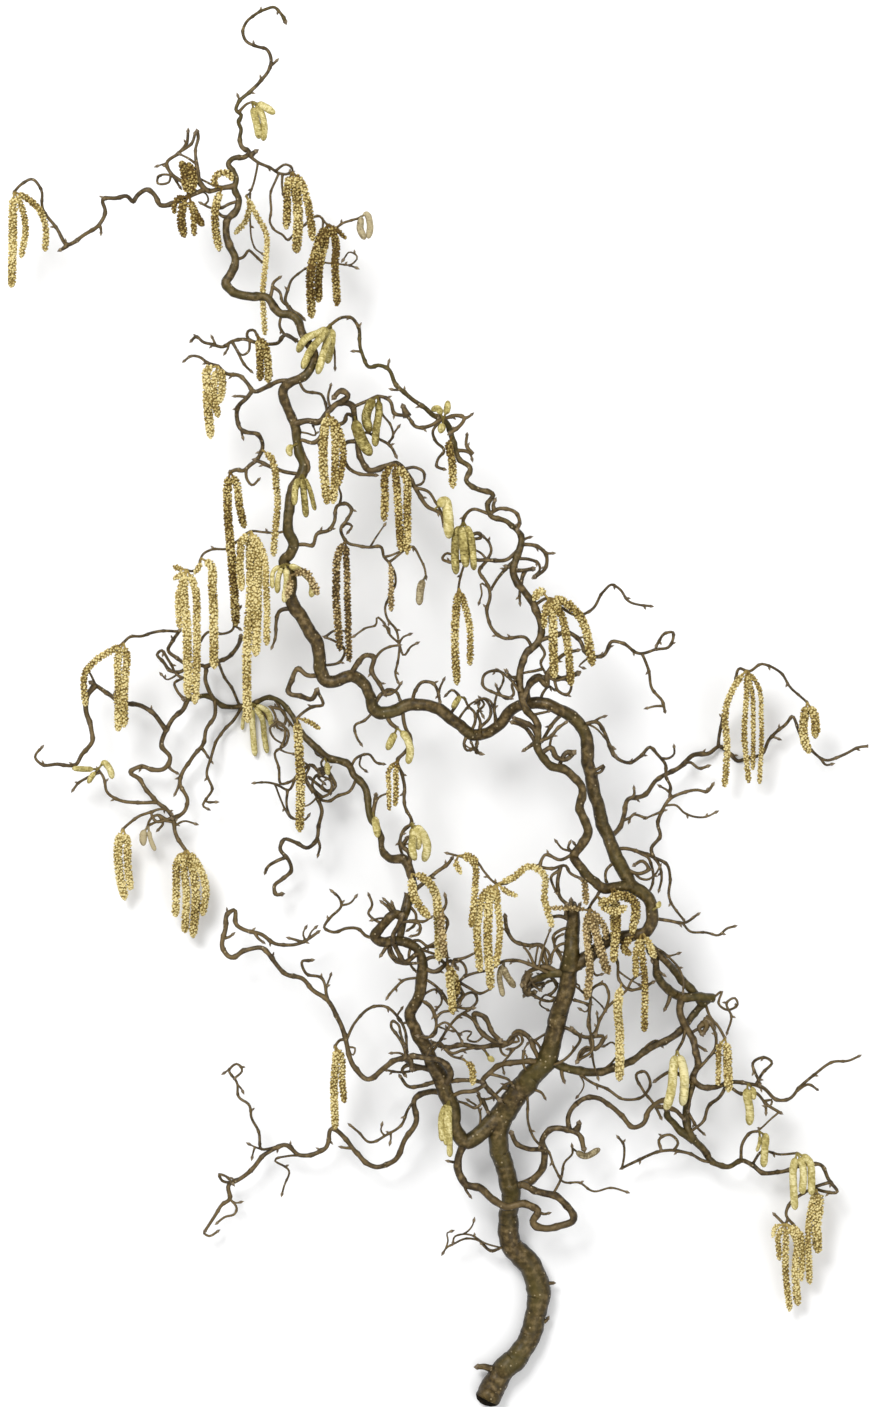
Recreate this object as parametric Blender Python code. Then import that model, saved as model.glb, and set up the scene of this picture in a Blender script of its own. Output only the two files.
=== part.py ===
"""Corkscrew hazel branch with catkins: one cut branch lying on a table, in metres, +Z up."""

import math

import bmesh
import bpy
import numpy as np
from mathutils.bvhtree import BVHTree

# Driving dimensions of the branch, in metres
PLAN_UNIT = 0.0008
PLAN_MIDDLE = (439.0, 713.4)
SIGHT_HEIGHT = 4.69
MILLIMETRE = 0.001

# How the wood and the catkins are drawn
ROUTE_STEP = 2.0
WOOD_TURN = math.radians(80)
WOOD_RUN = 56.0
FINEST_WOOD = 3.6
FLOOR_GAP = 0.0025
TWIG_SWAY = 3.0
SWAY_LENGTH = 46.0
FOOT_REACH = 16.0
SEAT_GAP = 0.0003
CATKIN_DROOP = 0.22
CLIMB_LIMIT = 0.03
CLIMB_SLOPE = 0.9
STALK_WIDTH = 2.2
STALK_LENGTH = 5.0
LIFT_STEP = 0.0005
SCALE_RINGS = {"open": 20.0, "closed": 15.0}
MOST_RINGS = 3
SCALE_RELIEF = {"open": (1.0, 0.8), "closed": (1.0, 0.92)}

# The three low places that the branch lies on, in plan units
FEET = ((500, 1385), (240, 707), (738, 761))

WOOD_COLOUR = (0.115, 0.083, 0.042)
CATKIN_COLOURS = {"open": (0.50, 0.37, 0.15), "closed": (0.62, 0.53, 0.22), "brown": (0.30, 0.18, 0.08)}

# Each limb: its name, what it grows on, then its routes. A route is the height of its tip above
# the table in mm, its width at the root and at the tip, and its plan points. A point may add its
# height in mm and its width. The first route is the limb, the others are its twigs.
LIMBS = {
    "trunk": (None, [
        (80, 25, 4, [
            (487, 1399, 9.0), (500, 1374, 9.0, 24), (521, 1352, 10, 22), (533, 1326, 11, 21), (538, 1301),
            (538, 1285, 12, 24), (533, 1270, 13), (524, 1259), (512, 1245, 17, 22), (508, 1230), (509, 1214, 22, 19),
            (511, 1198), (509, 1182), (504, 1166), (500, 1150, 35, 19), (498, 1130), (507, 1108, 43, 24),
            (520, 1090), (533, 1075, 50, 22), (545, 1062), (552, 1045, 57, 19), (556, 1025, 60), (562, 1005),
            (567, 985, 68, 17), (571, 968, 71), (585, 958), (600, 947, 75, 13), (613, 938, 77), (628, 936),
            (643, 933), (652, 922, 83, 12), (652, 908), (643, 893), (630, 884), (624, 872, 80, 14), (617, 857),
            (610, 842), (604, 827, 76, 13), (599, 810), (595, 795), (591, 778), (588, 760), (587, 745, 90, 13),
            (585, 732), (578, 722), (568, 714), (555, 707, 95, 12), (540, 703), (527, 703, 90), (514, 708),
            (505, 718, 80, 11), (495, 728), (482, 735, 72), (470, 733), (458, 724), (446, 714), (433, 707, 86, 12),
            (418, 704), (402, 707), (390, 712), (379, 713, 85, 13), (373, 706), (369, 695, 90, 11), (365, 684),
            (356, 677), (346, 677, 98), (335, 681), (325, 680, 95, 13), (320, 668), (320, 655), (317, 644),
            (310, 631), (302, 618), (295, 608, 100, 13), (291, 597), (291, 583), (288, 570), (284, 562, 100, 11),
            (290, 554), (293, 545, 105), (289, 532), (288, 517, 110, 10), (290, 502), (294, 488), (301, 476, 108, 11),
            (304, 464), (300, 453), (297, 441, 106, 9), (294, 422), (287, 407), (283, 398, 112, 9.5), (284, 388),
            (290, 383), (298, 379), (307, 373, 118), (313, 363), (315, 354), (309, 345), (303, 335, 110, 8),
            (298, 320), (291, 315), (280, 313), (274, 306), (268, 298, 100, 8), (253, 297), (237, 293), (225, 283, 98, 9),
            (230, 275), (235, 266), (235, 257), (229, 246), (226, 232, 96, 7), (228, 219), (237, 208), (239, 199),
            (235, 188, 95, 6), (236, 178), (231, 170), (228, 164), (232, 159), (245, 157, 90, 5), (249, 153),
            (242, 147), (240, 138), (241, 129, 86, 4), (238, 122), (241, 115), (236, 110), (239, 102), (250, 91),
            (261, 81), (269, 69, 95, 3.5), (271, 59), (267, 49), (255, 46), (246, 41), (243, 31, 92, 3), (247, 21),
            (254, 15), (264, 10), (275, 7), (280, 12, 82, 3), (285, 21)]),
        (12, 6, 4, [(492, 1369), (485, 1366), (478, 1366)]),
        (70, 17, 9, [(571, 968), (571, 950), (573, 930, 78, 14), (573, 912, 74, 12), (572, 904)]),
        (32, 2.5, 2, [(499, 1249), (490, 1250), (480, 1241), (465, 1239), (455, 1243), (446, 1248), (443, 1253)]),
        (28, 2, 2, [(498, 1239), (484, 1243), (470, 1235), (462, 1234), (454, 1237), (453, 1243)]),
        (56, 3, 2, [
            (536, 1092), (528, 1105), (528, 1122), (534, 1138), (548, 1151), (555, 1168), (562, 1181), (580, 1183),
            (593, 1191), (612, 1188), (627, 1192)]),
        (92, 3.5, 2, [(240, 112), (243, 107), (248, 103), (252, 102)]),
        (78, 3.5, 2.5, [(251, 157), (258, 162), (270, 167), (279, 173), (288, 174), (292, 172)]),
        (70, 2.5, 2.5, [
            (279, 174), (275, 182), (271, 192), (271, 210), (270, 222), (275, 230), (283, 235), (287, 240),
            (295, 233), (304, 225), (312, 218), (319, 216), (326, 223), (335, 228), (343, 223), (351, 220), (359, 218)]),
        (70, 2.5, 2, [(257, 163), (256, 174), (253, 186), (250, 193), (246, 196)]),
        (80, 3.5, 2.5, [(236, 258), (243, 257), (249, 250), (254, 254), (262, 262)]),
        (84, 3, 2.5, [(281, 314), (280, 326), (285, 334), (291, 338), (299, 342)]),
        (70, 4, 3, [
            (297, 342), (285, 335), (278, 343), (270, 344), (254, 342), (242, 339), (232, 341), (223, 347),
            (213, 344), (203, 342), (196, 337), (191, 341)]),
        (84, 3, 3, [(253, 342), (247, 337), (248, 331), (254, 330), (257, 335)]),
        (80, 4, 2, [(303, 327), (290, 311), (285, 300), (288, 290), (292, 279), (300, 272), (306, 268)]),
        (75, 5, 2.5, [
            (294, 379), (280, 381), (267, 387), (254, 391), (248, 384), (238, 375), (226, 373), (217, 366),
            (207, 362), (200, 357), (192, 356), (184, 361)]),
        (80, 4.5, 4, [
            (251, 391), (246, 399), (239, 406), (237, 417), (240, 428), (248, 432), (257, 434), (262, 441),
            (263, 448), (256, 460), (250, 465), (243, 471), (236, 470), (230, 472)]),
        (94, 4, 4, [(294, 472), (285, 472), (271, 467), (262, 462), (255, 460)]),
        (104, 3, 3, [(298, 381), (306, 391), (314, 392), (321, 394), (325, 402), (327, 413)]),
        (96, 2.5, 2.5, [(288, 530), (275, 533), (262, 532), (250, 531), (240, 539), (228, 548), (211, 550), (203, 554),
                        (200, 560), (198, 567), (192, 571), (187, 570)]),
        (88, 4, 3, [
            (293, 545), (305, 544), (312, 545), (317, 534), (328, 530), (334, 522), (338, 505), (346, 503), (351, 509),
            (347, 520), (341, 528), (343, 537), (348, 543), (357, 545), (370, 547), (381, 547), (384, 557), (389, 562)]),
        (80, 2.5, 2.5, [
            (389, 562), (395, 573), (396, 583), (389, 597), (385, 607), (387, 617), (396, 630), (399, 643)]),
        (74, 2.5, 2, [(399, 643), (403, 637), (410, 634)]),
        (90, 2.5, 2, [(399, 644), (390, 635), (383, 622), (377, 617), (376, 624), (366, 628), (354, 636)]),
        (80, 2.5, 2, [(399, 645), (404, 655), (411, 646), (417, 643)]),
        (82, 2.5, 2.5, [(399, 646), (398, 662), (395, 674), (398, 682)]),
        (84, 5, 2, [(290, 610), (280, 611), (276, 623), (275, 640), (272, 647)]),
        (96, 5, 5, [(319, 676), (306, 675), (298, 669), (292, 678), (290, 693), (300, 696), (312, 699), (317, 690)]),
        (86, 3.5, 3, [(318, 690), (323, 705), (313, 707), (304, 712), (297, 718)]),
        (80, 3, 2.5, [(368, 713), (364, 721), (355, 725), (357, 738), (361, 744)]),
        (84, 5, 4, [(386, 714), (390, 722), (397, 728)]),
        (62, 4, 3, [
            (402, 708), (406, 728), (411, 738), (405, 752), (398, 760), (402, 775), (405, 788), (404, 803),
            (411, 823), (403, 832), (400, 845), (404, 858)]),
        (104, 6, 4, [(350, 676), (357, 663), (366, 655), (373, 657), (372, 670), (379, 684), (385, 694)]),
        (100, 3, 2.5, [(376, 661), (382, 650), (390, 646), (399, 645)]),
        (98, 4, 3, [(412, 703), (415, 690), (422, 682), (432, 683), (439, 694), (440, 702)]),
        (86, 3, 2.5, [(330, 665), (341, 660), (345, 650), (335, 641), (325, 637)]),
        (110, 4, 4, [(303, 478), (308, 470), (304, 455), (301, 440), (313, 442), (321, 435), (322, 428), (324, 418)]),
        (58, 4, 3, [
            (586, 722), (598, 722), (605, 733), (611, 750), (620, 760), (630, 763), (641, 755), (650, 747),
            (657, 754), (666, 765), (666, 777), (671, 787), (670, 795)]),
        (60, 4, 2.5, [
            (614, 850), (625, 848), (641, 852), (653, 857), (667, 864), (670, 880), (669, 895), (675, 909), (684, 920)]),
        (68, 4, 3, [
            (653, 857), (651, 849), (660, 835), (658, 825), (661, 812), (668, 801), (681, 793), (698, 790),
            (707, 792), (713, 784)]),
        (64, 2.5, 2, [(664, 806), (676, 805), (684, 812), (697, 817), (706, 817), (716, 812)]),
        (86, 4, 3.5, [(628, 864), (640, 873), (648, 869), (642, 861), (634, 865)]),
        (78, 4, 2.5, [(652, 918), (668, 920), (686, 922), (698, 914)]),
        (62, 2.5, 2.5, [(683, 922), (690, 931), (705, 932), (718, 935), (727, 928), (735, 926)]),
        (60, 9, 6, [(562, 972), (545, 975), (530, 984), (527, 993)]),
        (84, 4, 3, [(550, 972), (535, 967), (515, 960), (504, 961), (497, 965), (490, 970)]),
        (74, 4, 4, [(549, 975), (545, 957), (540, 945), (528, 945), (514, 941), (507, 928), (505, 916)]),
        (78, 3, 2.5, [(566, 970), (560, 957), (554, 945), (557, 937), (563, 934)]),
        (70, 4, 4, [(556, 1025), (570, 1029), (585, 1037), (604, 1037), (598, 1047), (585, 1050), (577, 1062)]),
        (76, 3, 3, [(545, 1070), (560, 1062), (574, 1050), (580, 1038), (572, 1028)]),
        (84, 3, 3, [
            (596, 1072), (592, 1050), (590, 1030), (590, 1005), (593, 988), (604, 984), (609, 994), (606, 1008),
            (600, 1020), (596, 1034)]),
        (78, 3, 2.5, [(606, 1007), (617, 998), (626, 990), (633, 979), (640, 974)]),
        (72, 3, 3, [(613, 945), (618, 963), (619, 980), (628, 989), (642, 988), (653, 982)]),
        (64, 6, 5, [(545, 1063), (520, 1062), (503, 1064), (491, 1072), (482, 1081), (491, 1091), (500, 1100)]),
        (60, 5, 5, [(540, 1064), (534, 1050), (527, 1035), (518, 1031), (511, 1042), (496, 1045), (480, 1047),
                    (464, 1045), (448, 1047), (430, 1042)]),
        (78, 5, 5, [(508, 1044), (491, 1040), (477, 1026), (475, 1014), (484, 1016), (492, 1033), (501, 1041)]),
    ]),
    "left_stem": ("trunk", [
        (28, 16, 5, [
            (508, 1108), (495, 1120, 43, 18), (480, 1133, 44), (466, 1142, 45, 15), (455, 1130), (452, 1110, 50, 16),
            (447, 1095), (440, 1078, 58, 16), (432, 1062), (424, 1045, 65, 13), (415, 1030), (410, 1015, 70, 11),
            (417, 1000), (421, 985, 76, 12), (422, 965), (418, 950, 83, 9), (408, 942), (395, 941, 88, 10),
            (382, 941), (374, 936, 95), (380, 928), (388, 920, 101), (395, 914, 102, 9), (403, 915), (409, 900, 92),
            (413, 885, 84, 7), (411, 872, 78), (404, 860, 72, 10), (390, 858, 66), (382, 848, 60, 6), (380, 835),
            (376, 825, 55), (370, 815), (367, 800, 48, 7), (365, 787), (360, 780), (354, 775, 42, 7), (348, 765),
            (340, 761), (328, 757, 37, 7), (318, 750), (310, 742, 32, 7), (303, 734), (297, 725, 26), (292, 715, 24, 5),
            (285, 705), (275, 699, 19), (267, 698), (258, 701, 9, 5), (250, 705, 4), (240, 707, 1.7, 5), (231, 707, 4.5),
            (222, 705, 9), (213, 699, 13), (203, 696, 18, 5), (193, 698), (184, 699)]),
        (112, 5, 5, [(418, 952), (404, 962), (397, 950), (393, 936), (398, 925), (402, 915)]),
        (92, 3.5, 2.5, [
            (376, 938), (366, 936), (358, 929), (347, 928), (333, 932), (324, 928), (331, 917), (341, 905),
            (338, 896), (332, 891)]),
        (90, 3, 2.5, [(386, 927), (375, 920), (368, 913), (372, 905), (369, 895)]),
        (80, 3, 2.5, [(416, 977), (403, 981), (393, 990), (387, 998)]),
        (86, 3, 3, [(442, 940), (445, 932), (448, 921), (442, 912), (446, 903), (445, 895)]),
        (80, 3.5, 3, [(427, 950), (434, 944), (442, 940), (447, 953), (447, 968)]),
        (82, 3, 3, [(424, 978), (435, 985), (443, 993), (449, 1003), (462, 1008), (473, 1008)]),
        (84, 3, 3, [(418, 1000), (428, 1003), (436, 1017), (435, 1030), (427, 1038), (418, 1036)]),
        (72, 5, 4, [(440, 1084), (455, 1080), (468, 1080), (482, 1082)]),
        (66, 5, 4, [(448, 1098), (460, 1092), (474, 1090), (484, 1085)]),
        (86, 3, 3, [(447, 1048), (447, 1030), (458, 1016), (470, 1009), (477, 1000), (474, 993), (464, 995), (459, 1004)]),
        (92, 3, 3, [(464, 994), (459, 982), (466, 973), (462, 962), (454, 959), (452, 966)]),
        (84, 4, 2.5, [(392, 941), (389, 950), (395, 960), (405, 964), (416, 963)]),
        (46, 3, 2.5, [(351, 768), (356, 758), (369, 754), (377, 763), (384, 764)]),
        (42, 5, 4, [(374, 818), (374, 806), (376, 794)]),
        (34, 3.5, 3, [(357, 779), (349, 792), (338, 796), (328, 801), (318, 799)]),
        (48, 3, 2.5, [(318, 799), (312, 789), (305, 777), (309, 766), (303, 762)]),
        (26, 4, 4, [
            (318, 798), (322, 810), (319, 826), (317, 838), (307, 848), (296, 843), (284, 839), (280, 848),
            (289, 860), (291, 870), (283, 879), (274, 886), (276, 895), (282, 894)]),
        (44, 3, 2.5, [(318, 800), (330, 792), (331, 781), (320, 775)]),
        (40, 3, 2.5, [(303, 762), (292, 781), (281, 784), (279, 768), (275, 752), (286, 744), (288, 731), (280, 725)]),
        (26, 3, 2, [(296, 778), (289, 790), (275, 784), (263, 782), (254, 783)]),
        (30, 3, 2, [(288, 788), (287, 806), (291, 816), (300, 821)]),
        (22, 3.5, 3, [(252, 704), (262, 711), (272, 722), (285, 724), (284, 712), (271, 707)]),
        (34, 3.5, 2.5, [(242, 709), (234, 720), (220, 735), (211, 757), (207, 773), (212, 790), (206, 801), (216, 802)]),
        (30, 3, 3, [(240, 702), (232, 689), (224, 676), (219, 664)]),
        (46, 4.5, 3.5, [(213, 700), (209, 691), (205, 680), (205, 667), (190, 665), (176, 658), (168, 650), (173, 641),
                        (180, 630)]),
        (48, 4.5, 4, [(205, 667), (218, 661), (230, 656), (238, 645), (241, 635)]),
        (64, 3, 2.5, [(196, 662), (200, 641), (208, 632), (222, 634), (232, 630), (235, 616), (241, 606)]),
        (62, 3, 3, [(178, 632), (165, 631), (150, 633), (142, 636), (130, 637), (123, 643)]),
        (50, 4, 2.5, [(190, 665), (180, 672), (170, 671), (163, 661), (157, 654), (161, 650), (169, 661), (178, 675),
                      (186, 678)]),
        (28, 4, 4, [(213, 702), (215, 716), (206, 730), (203, 744), (192, 758), (183, 772), (180, 784), (188, 801),
                    (184, 812), (172, 818)]),
    ]),
    "left_arm": ("left_stem", [
        (30, 5, 4, [
            (187, 699), (184, 709, 24), (173, 719), (166, 730, 30), (162, 745), (170, 758), (163, 769), (152, 770),
            (142, 766), (131, 773), (138, 778, 20), (146, 789), (157, 802), (167, 809), (173, 820), (175, 832), (181, 843),
            (187, 852)]),
        (48, 5, 4, [(166, 729), (152, 713), (136, 704), (121, 703), (106, 692), (97, 686), (90, 682)]),
        (44, 6, 2.5, [
            (95, 684), (88, 695), (86, 709), (91, 728), (93, 740), (82, 754), (76, 765), (58, 764), (42, 765), (35, 757),
            (42, 747)]),
        (36, 4, 2.5, [(157, 802), (140, 803), (120, 800), (107, 792), (103, 777), (98, 769)]),
        (34, 3, 2.5, [(98, 774), (87, 778), (78, 784), (73, 790)]),
        (30, 3.5, 2.5, [(171, 819), (155, 821), (151, 813), (163, 809), (172, 814)]),
        (30, 3, 3, [(152, 811), (140, 816), (130, 823), (123, 829)]),
        (24, 3, 2.5, [(172, 822), (160, 821), (148, 826)]),
        (30, 2.5, 2, [(174, 826), (184, 821), (196, 824)]),
    ]),
    "front_loop": ("left_stem", [
        (46, 8, 7, [
            (463, 1144), (459, 1158), (459, 1172, 44), (465, 1184), (480, 1187, 44), (493, 1200), (506, 1206, 46),
            (525, 1204), (538, 1210, 46), (533, 1222), (545, 1228), (560, 1226, 42), (573, 1219), (569, 1208),
            (558, 1198), (540, 1192), (520, 1184)]),
        (34, 3, 2, [(552, 1195), (561, 1178), (564, 1163), (573, 1152), (572, 1146)]),
    ]),
    "lower_right": ("trunk", [
        (50, 8, 5, [
            (513, 1187), (532, 1179), (543, 1168), (544, 1153), (542, 1140), (552, 1129), (567, 1129), (578, 1134),
            (584, 1149)]),
        (48, 5, 5, [(541, 1149), (527, 1149), (516, 1144), (511, 1132)]),
        (58, 5, 5, [
            (570, 1129), (568, 1116), (579, 1101), (598, 1098), (609, 1104), (621, 1115), (635, 1127), (643, 1124),
            (650, 1109), (659, 1101), (669, 1098)]),
    ]),
    "right_limb": ("trunk", [
        (38, 9, 8, [
            (548, 1060), (560, 1065, 52), (585, 1072, 50), (608, 1070, 48, 8), (632, 1060, 45, 7), (655, 1045, 42),
            (680, 1032), (695, 1012, 38, 7), (711, 997)]),
        (38, 9, 9, [
            (642, 935), (649, 948, 76, 6), (655, 961, 68, 6), (658, 976, 56, 8), (668, 990, 46, 9), (680, 996, 40),
            (696, 997), (713, 998)]),
        (40, 8, 2.5, [
            (682, 998), (680, 1010), (686, 1026), (694, 1043, 46, 7), (698, 1063), (694, 1080), (702, 1087, 50, 6),
            (716, 1087), (728, 1082), (744, 1083, 45, 4), (763, 1087), (777, 1100), (790, 1098), (800, 1087),
            (817, 1072), (833, 1062), (850, 1060), (859, 1056)]),
        (44, 3, 3, [(697, 1043), (705, 1050)]),
        (42, 3.5, 3, [(686, 1027), (683, 1040), (677, 1051)]),
        (50, 3, 3, [(705, 1003), (710, 1016), (719, 1027), (725, 1038)]),
        (58, 3.5, 3, [(696, 1073), (706, 1060), (715, 1048), (716, 1035), (709, 1022)]),
        (56, 2.5, 2.5, [
            (713, 997), (722, 991), (719, 1004), (728, 1010), (738, 1004), (735, 998), (727, 1003), (731, 1016),
            (727, 1033)]),
        (38, 4, 3, [(728, 1085), (719, 1098), (709, 1106), (703, 1121), (690, 1132)]),
        (34, 3.5, 3, [(729, 1084), (740, 1093), (756, 1093), (767, 1104), (781, 1113)]),
        (58, 3, 3, [(756, 1084), (763, 1072), (772, 1062), (765, 1057), (753, 1063), (756, 1074), (760, 1084)]),
        (32, 3, 2.5, [(798, 1092), (809, 1084), (818, 1090)]),
        (40, 3, 3, [
            (575, 1070), (590, 1081), (607, 1089), (624, 1099), (642, 1097), (650, 1084), (644, 1071), (637, 1073),
            (643, 1090), (655, 1106), (661, 1118)]),
        (32, 6, 3, [
            (697, 1079), (691, 1092, 45, 6), (687, 1108), (686, 1122, 38, 8), (693, 1138), (702, 1148, 34, 7),
            (712, 1161), (728, 1167, 30, 5), (741, 1160), (752, 1165), (762, 1172), (780, 1172), (800, 1166),
            (821, 1165), (828, 1178), (837, 1192), (824, 1191), (816, 1189)]),
        (44, 5, 4, [(670, 1096), (676, 1110), (684, 1119)]),
        (46, 3.5, 3, [(741, 1159), (742, 1144), (751, 1132), (759, 1131)]),
        (42, 3, 2.5, [(754, 1163), (762, 1151), (780, 1154), (797, 1153)]),
        (24, 3.5, 3, [(829, 1184), (818, 1186), (803, 1194), (790, 1203), (786, 1214), (795, 1226), (799, 1233)]),
        (24, 3, 3, [(788, 1218), (785, 1224), (779, 1219), (774, 1214)]),
        (26, 3.5, 3, [(714, 1163), (704, 1161), (690, 1154), (672, 1150), (655, 1153), (640, 1159), (622, 1168)]),
        (48, 3, 3, [(674, 1151), (678, 1143), (670, 1135), (659, 1140), (661, 1150)]),
        (40, 2.5, 2.5, [(622, 1167), (624, 1155), (623, 1144), (618, 1137)]),
    ]),
    "low_left": ("left_stem", [
        (20, 7, 3, [
            (446, 1094), (430, 1092, 48, 6), (415, 1099, 44), (416, 1123), (404, 1142, 36), (395, 1160), (377, 1167, 30, 5),
            (357, 1154), (343, 1136), (332, 1129, 28, 4.5), (325, 1149), (313, 1154), (299, 1155), (285, 1145),
            (267, 1153, 24, 4.5), (252, 1169), (239, 1180), (229, 1185, 20, 4.5), (229, 1200), (222, 1205), (214, 1217),
            (205, 1231)]),
        (14, 2.5, 2.5, [(206, 1229), (204, 1233), (209, 1236), (218, 1231)]),
        (30, 2.5, 2.5, [(229, 1199), (237, 1209), (235, 1214), (225, 1217), (217, 1223)]),
        (32, 3, 2.5, [(232, 1184), (221, 1180), (219, 1174), (225, 1176), (233, 1184)]),
        (36, 2.5, 2, [(302, 1155), (289, 1156), (275, 1160), (289, 1171), (284, 1187), (282, 1194)]),
        (40, 3, 2.5, [
            (276, 1149), (261, 1149), (259, 1132), (251, 1117), (249, 1105), (239, 1097), (237, 1083), (229, 1070),
            (237, 1064), (242, 1070), (235, 1078)]),
        (38, 3, 2.5, [(416, 1096), (409, 1108), (402, 1124), (385, 1136), (369, 1142), (358, 1132), (350, 1125)]),
    ]),
    "left_limb": ("left_stem", [
        (44, 7, 3, [
            (446, 1086), (450, 1073, 70, 7), (441, 1061, 76, 6), (420, 1057, 78), (401, 1058, 74), (383, 1069, 66),
            (367, 1079), (355, 1069, 60), (347, 1045, 58, 5), (339, 1020), (327, 1000, 56), (313, 990), (303, 979, 54, 4.5),
            (288, 975), (274, 962), (263, 948), (245, 951, 50), (230, 957), (222, 948, 48, 5), (225, 932), (228, 914),
            (234, 910, 44), (237, 925), (247, 931), (261, 934, 42, 4), (277, 944), (296, 944), (312, 936), (318, 932)]),
        (44, 2.5, 2, [(331, 1002), (326, 990), (331, 974)]),
        (66, 3, 3, [(349, 1041), (355, 1022), (370, 1008), (385, 1006), (400, 1020), (405, 1030), (407, 1052)]),
        (50, 3, 3, [(346, 1038), (340, 1040), (335, 1046)]),
        (50, 3, 3, [(327, 1000), (321, 978), (306, 973), (302, 961), (312, 960)]),
    ]),
    "inner_limb": ("trunk", [
        (96, 11, 3, [
            (622, 896), (602, 887, 88), (582, 868, 92, 9), (573, 855), (580, 847), (588, 832, 98, 9), (584, 820),
            (580, 808), (582, 787, 104, 8), (568, 772), (548, 763, 108, 8), (538, 748), (538, 735, 110, 7),
            (536, 722), (524, 705, 108, 7), (520, 683), (524, 657, 105, 7), (539, 640), (541, 628), (535, 607),
            (525, 592, 102, 7), (513, 572), (520, 548, 98, 7), (521, 538), (508, 522, 96, 5), (490, 515), (488, 504),
            (493, 495), (478, 489, 94, 5), (466, 480), (470, 468), (459, 458, 92, 5), (455, 448), (452, 438),
            (450, 428), (442, 419, 88, 6), (434, 416), (426, 408, 92, 4.5), (408, 396), (396, 384), (388, 369, 96),
            (378, 365), (370, 367), (361, 350, 104, 3.5), (358, 327), (351, 317, 112), (342, 317), (330, 325, 116)]),
        (100, 3.5, 3, [(572, 853), (560, 860), (545, 855), (540, 866), (552, 868), (566, 866), (569, 872), (580, 878)]),
        (94, 4, 4, [(562, 867), (558, 884), (561, 898), (567, 904)]),
        (96, 2.5, 2.5, [
            (541, 865), (528, 868), (515, 879), (497, 884), (485, 872), (475, 860), (460, 856), (447, 853)]),
        (84, 3.5, 3, [(602, 887), (597, 896), (591, 905), (588, 914)]),
        (92, 5, 4, [(538, 745), (531, 735), (523, 726), (512, 722)]),
        (116, 4, 3, [(539, 742), (550, 736), (558, 728), (566, 722)]),
        (104, 5, 5, [(541, 752), (552, 747), (557, 757), (566, 759), (574, 752)]),
        (98, 6, 5, [(527, 700), (529, 685), (538, 678), (547, 686), (547, 674), (560, 678), (578, 673)]),
        (110, 3, 3, [
            (520, 695), (514, 684), (508, 677), (496, 670), (484, 675), (483, 685), (497, 694), (511, 698)]),
        (92, 3.5, 3.5, [
            (532, 648), (526, 638), (504, 638), (491, 627), (487, 612), (490, 595), (485, 580), (479, 571), (487, 560)]),
        (90, 4, 4, [(519, 548), (506, 560), (487, 560), (473, 558), (469, 552)]),
        (84, 2.5, 2.5, [(469, 553), (464, 566), (460, 580), (458, 592)]),
        (84, 4, 3.5, [(525, 545), (538, 546), (546, 555), (546, 568), (535, 577)]),
        (90, 4, 3, [(521, 559), (508, 567), (499, 577), (491, 589)]),
        (86, 4, 4, [(520, 585), (526, 570), (534, 569)]),
        (104, 4, 3.5, [(491, 513), (500, 508), (516, 513), (520, 523), (517, 530)]),
        (88, 3.5, 3.5, [(487, 514), (471, 510), (464, 519), (463, 524)]),
        (92, 3.5, 3, [(536, 605), (548, 598), (556, 604), (562, 608)]),
        (84, 5, 3, [
            (539, 640), (552, 636), (567, 632), (579, 640), (589, 655), (603, 656), (612, 641), (622, 643), (640, 653),
            (656, 649)]),
        (74, 3, 3, [(656, 648), (668, 647), (673, 632), (664, 634), (656, 646)]),
        (60, 3, 3, [(642, 654), (649, 670), (652, 689), (663, 702), (665, 712)]),
        (96, 3, 2.5, [(562, 608), (577, 615), (592, 609), (603, 592), (612, 584), (620, 589), (627, 600), (651, 606)]),
        (84, 4, 3, [(456, 450), (467, 451), (473, 454), (466, 446), (467, 434)]),
        (84, 3, 3, [(439, 424), (433, 432), (436, 441), (444, 450), (438, 459), (437, 466), (444, 469)]),
    ]),
    "curl_limb": ("trunk", [
        (84, 7, 3, [
            (297, 424), (307, 420, 112, 6), (319, 421), (329, 411, 114, 6), (340, 402), (350, 404, 108, 6), (355, 418),
            (357, 437, 98), (361, 458), (368, 470, 92, 6), (385, 466), (396, 464), (410, 477, 90, 5), (418, 493),
            (427, 506), (441, 513), (444, 526)]),
        (120, 6, 5, [(343, 401), (348, 395), (341, 391), (334, 397)]),
        (98, 3.5, 4, [
            (352, 407), (366, 401), (379, 396), (390, 401), (395, 413), (407, 416), (415, 426), (428, 426), (445, 418),
            (455, 415), (464, 418), (458, 428), (450, 433)]),
        (76, 2.5, 2.5, [(379, 397), (382, 413), (391, 426), (393, 437), (389, 442)]),
        (84, 3, 3, [(359, 440), (366, 432), (378, 438), (391, 447), (396, 456)]),
        (104, 3, 2.5, [(330, 410), (328, 397), (331, 384)]),
    ]),
    "right_reach": ("trunk", [
        (40, 6, 3, [
            (608, 838), (618, 829, 68, 5), (624, 815, 58), (628, 799, 48), (645, 795), (656, 780, 30, 4.5), (677, 769),
            (694, 755, 12, 5), (708, 754), (720, 746, 4, 4), (728, 752), (738, 761, 1.2, 4), (747, 758, 4), (762, 754, 9),
            (769, 739, 15, 3.5), (786, 724, 22), (792, 716), (799, 732, 30, 3), (811, 750), (826, 760), (845, 754),
            (858, 747), (868, 746)]),
        (46, 4, 3, [
            (719, 747), (719, 735, 14), (725, 712, 24), (735, 685, 34), (740, 668, 40), (748, 671), (762, 664, 44),
            (780, 672), (792, 689), (807, 702)]),
        (30, 3, 3, [(683, 765), (690, 762), (699, 768), (708, 766)]),
    ]),
    "top_left": ("trunk", [
        (92, 6, 4, [
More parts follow.
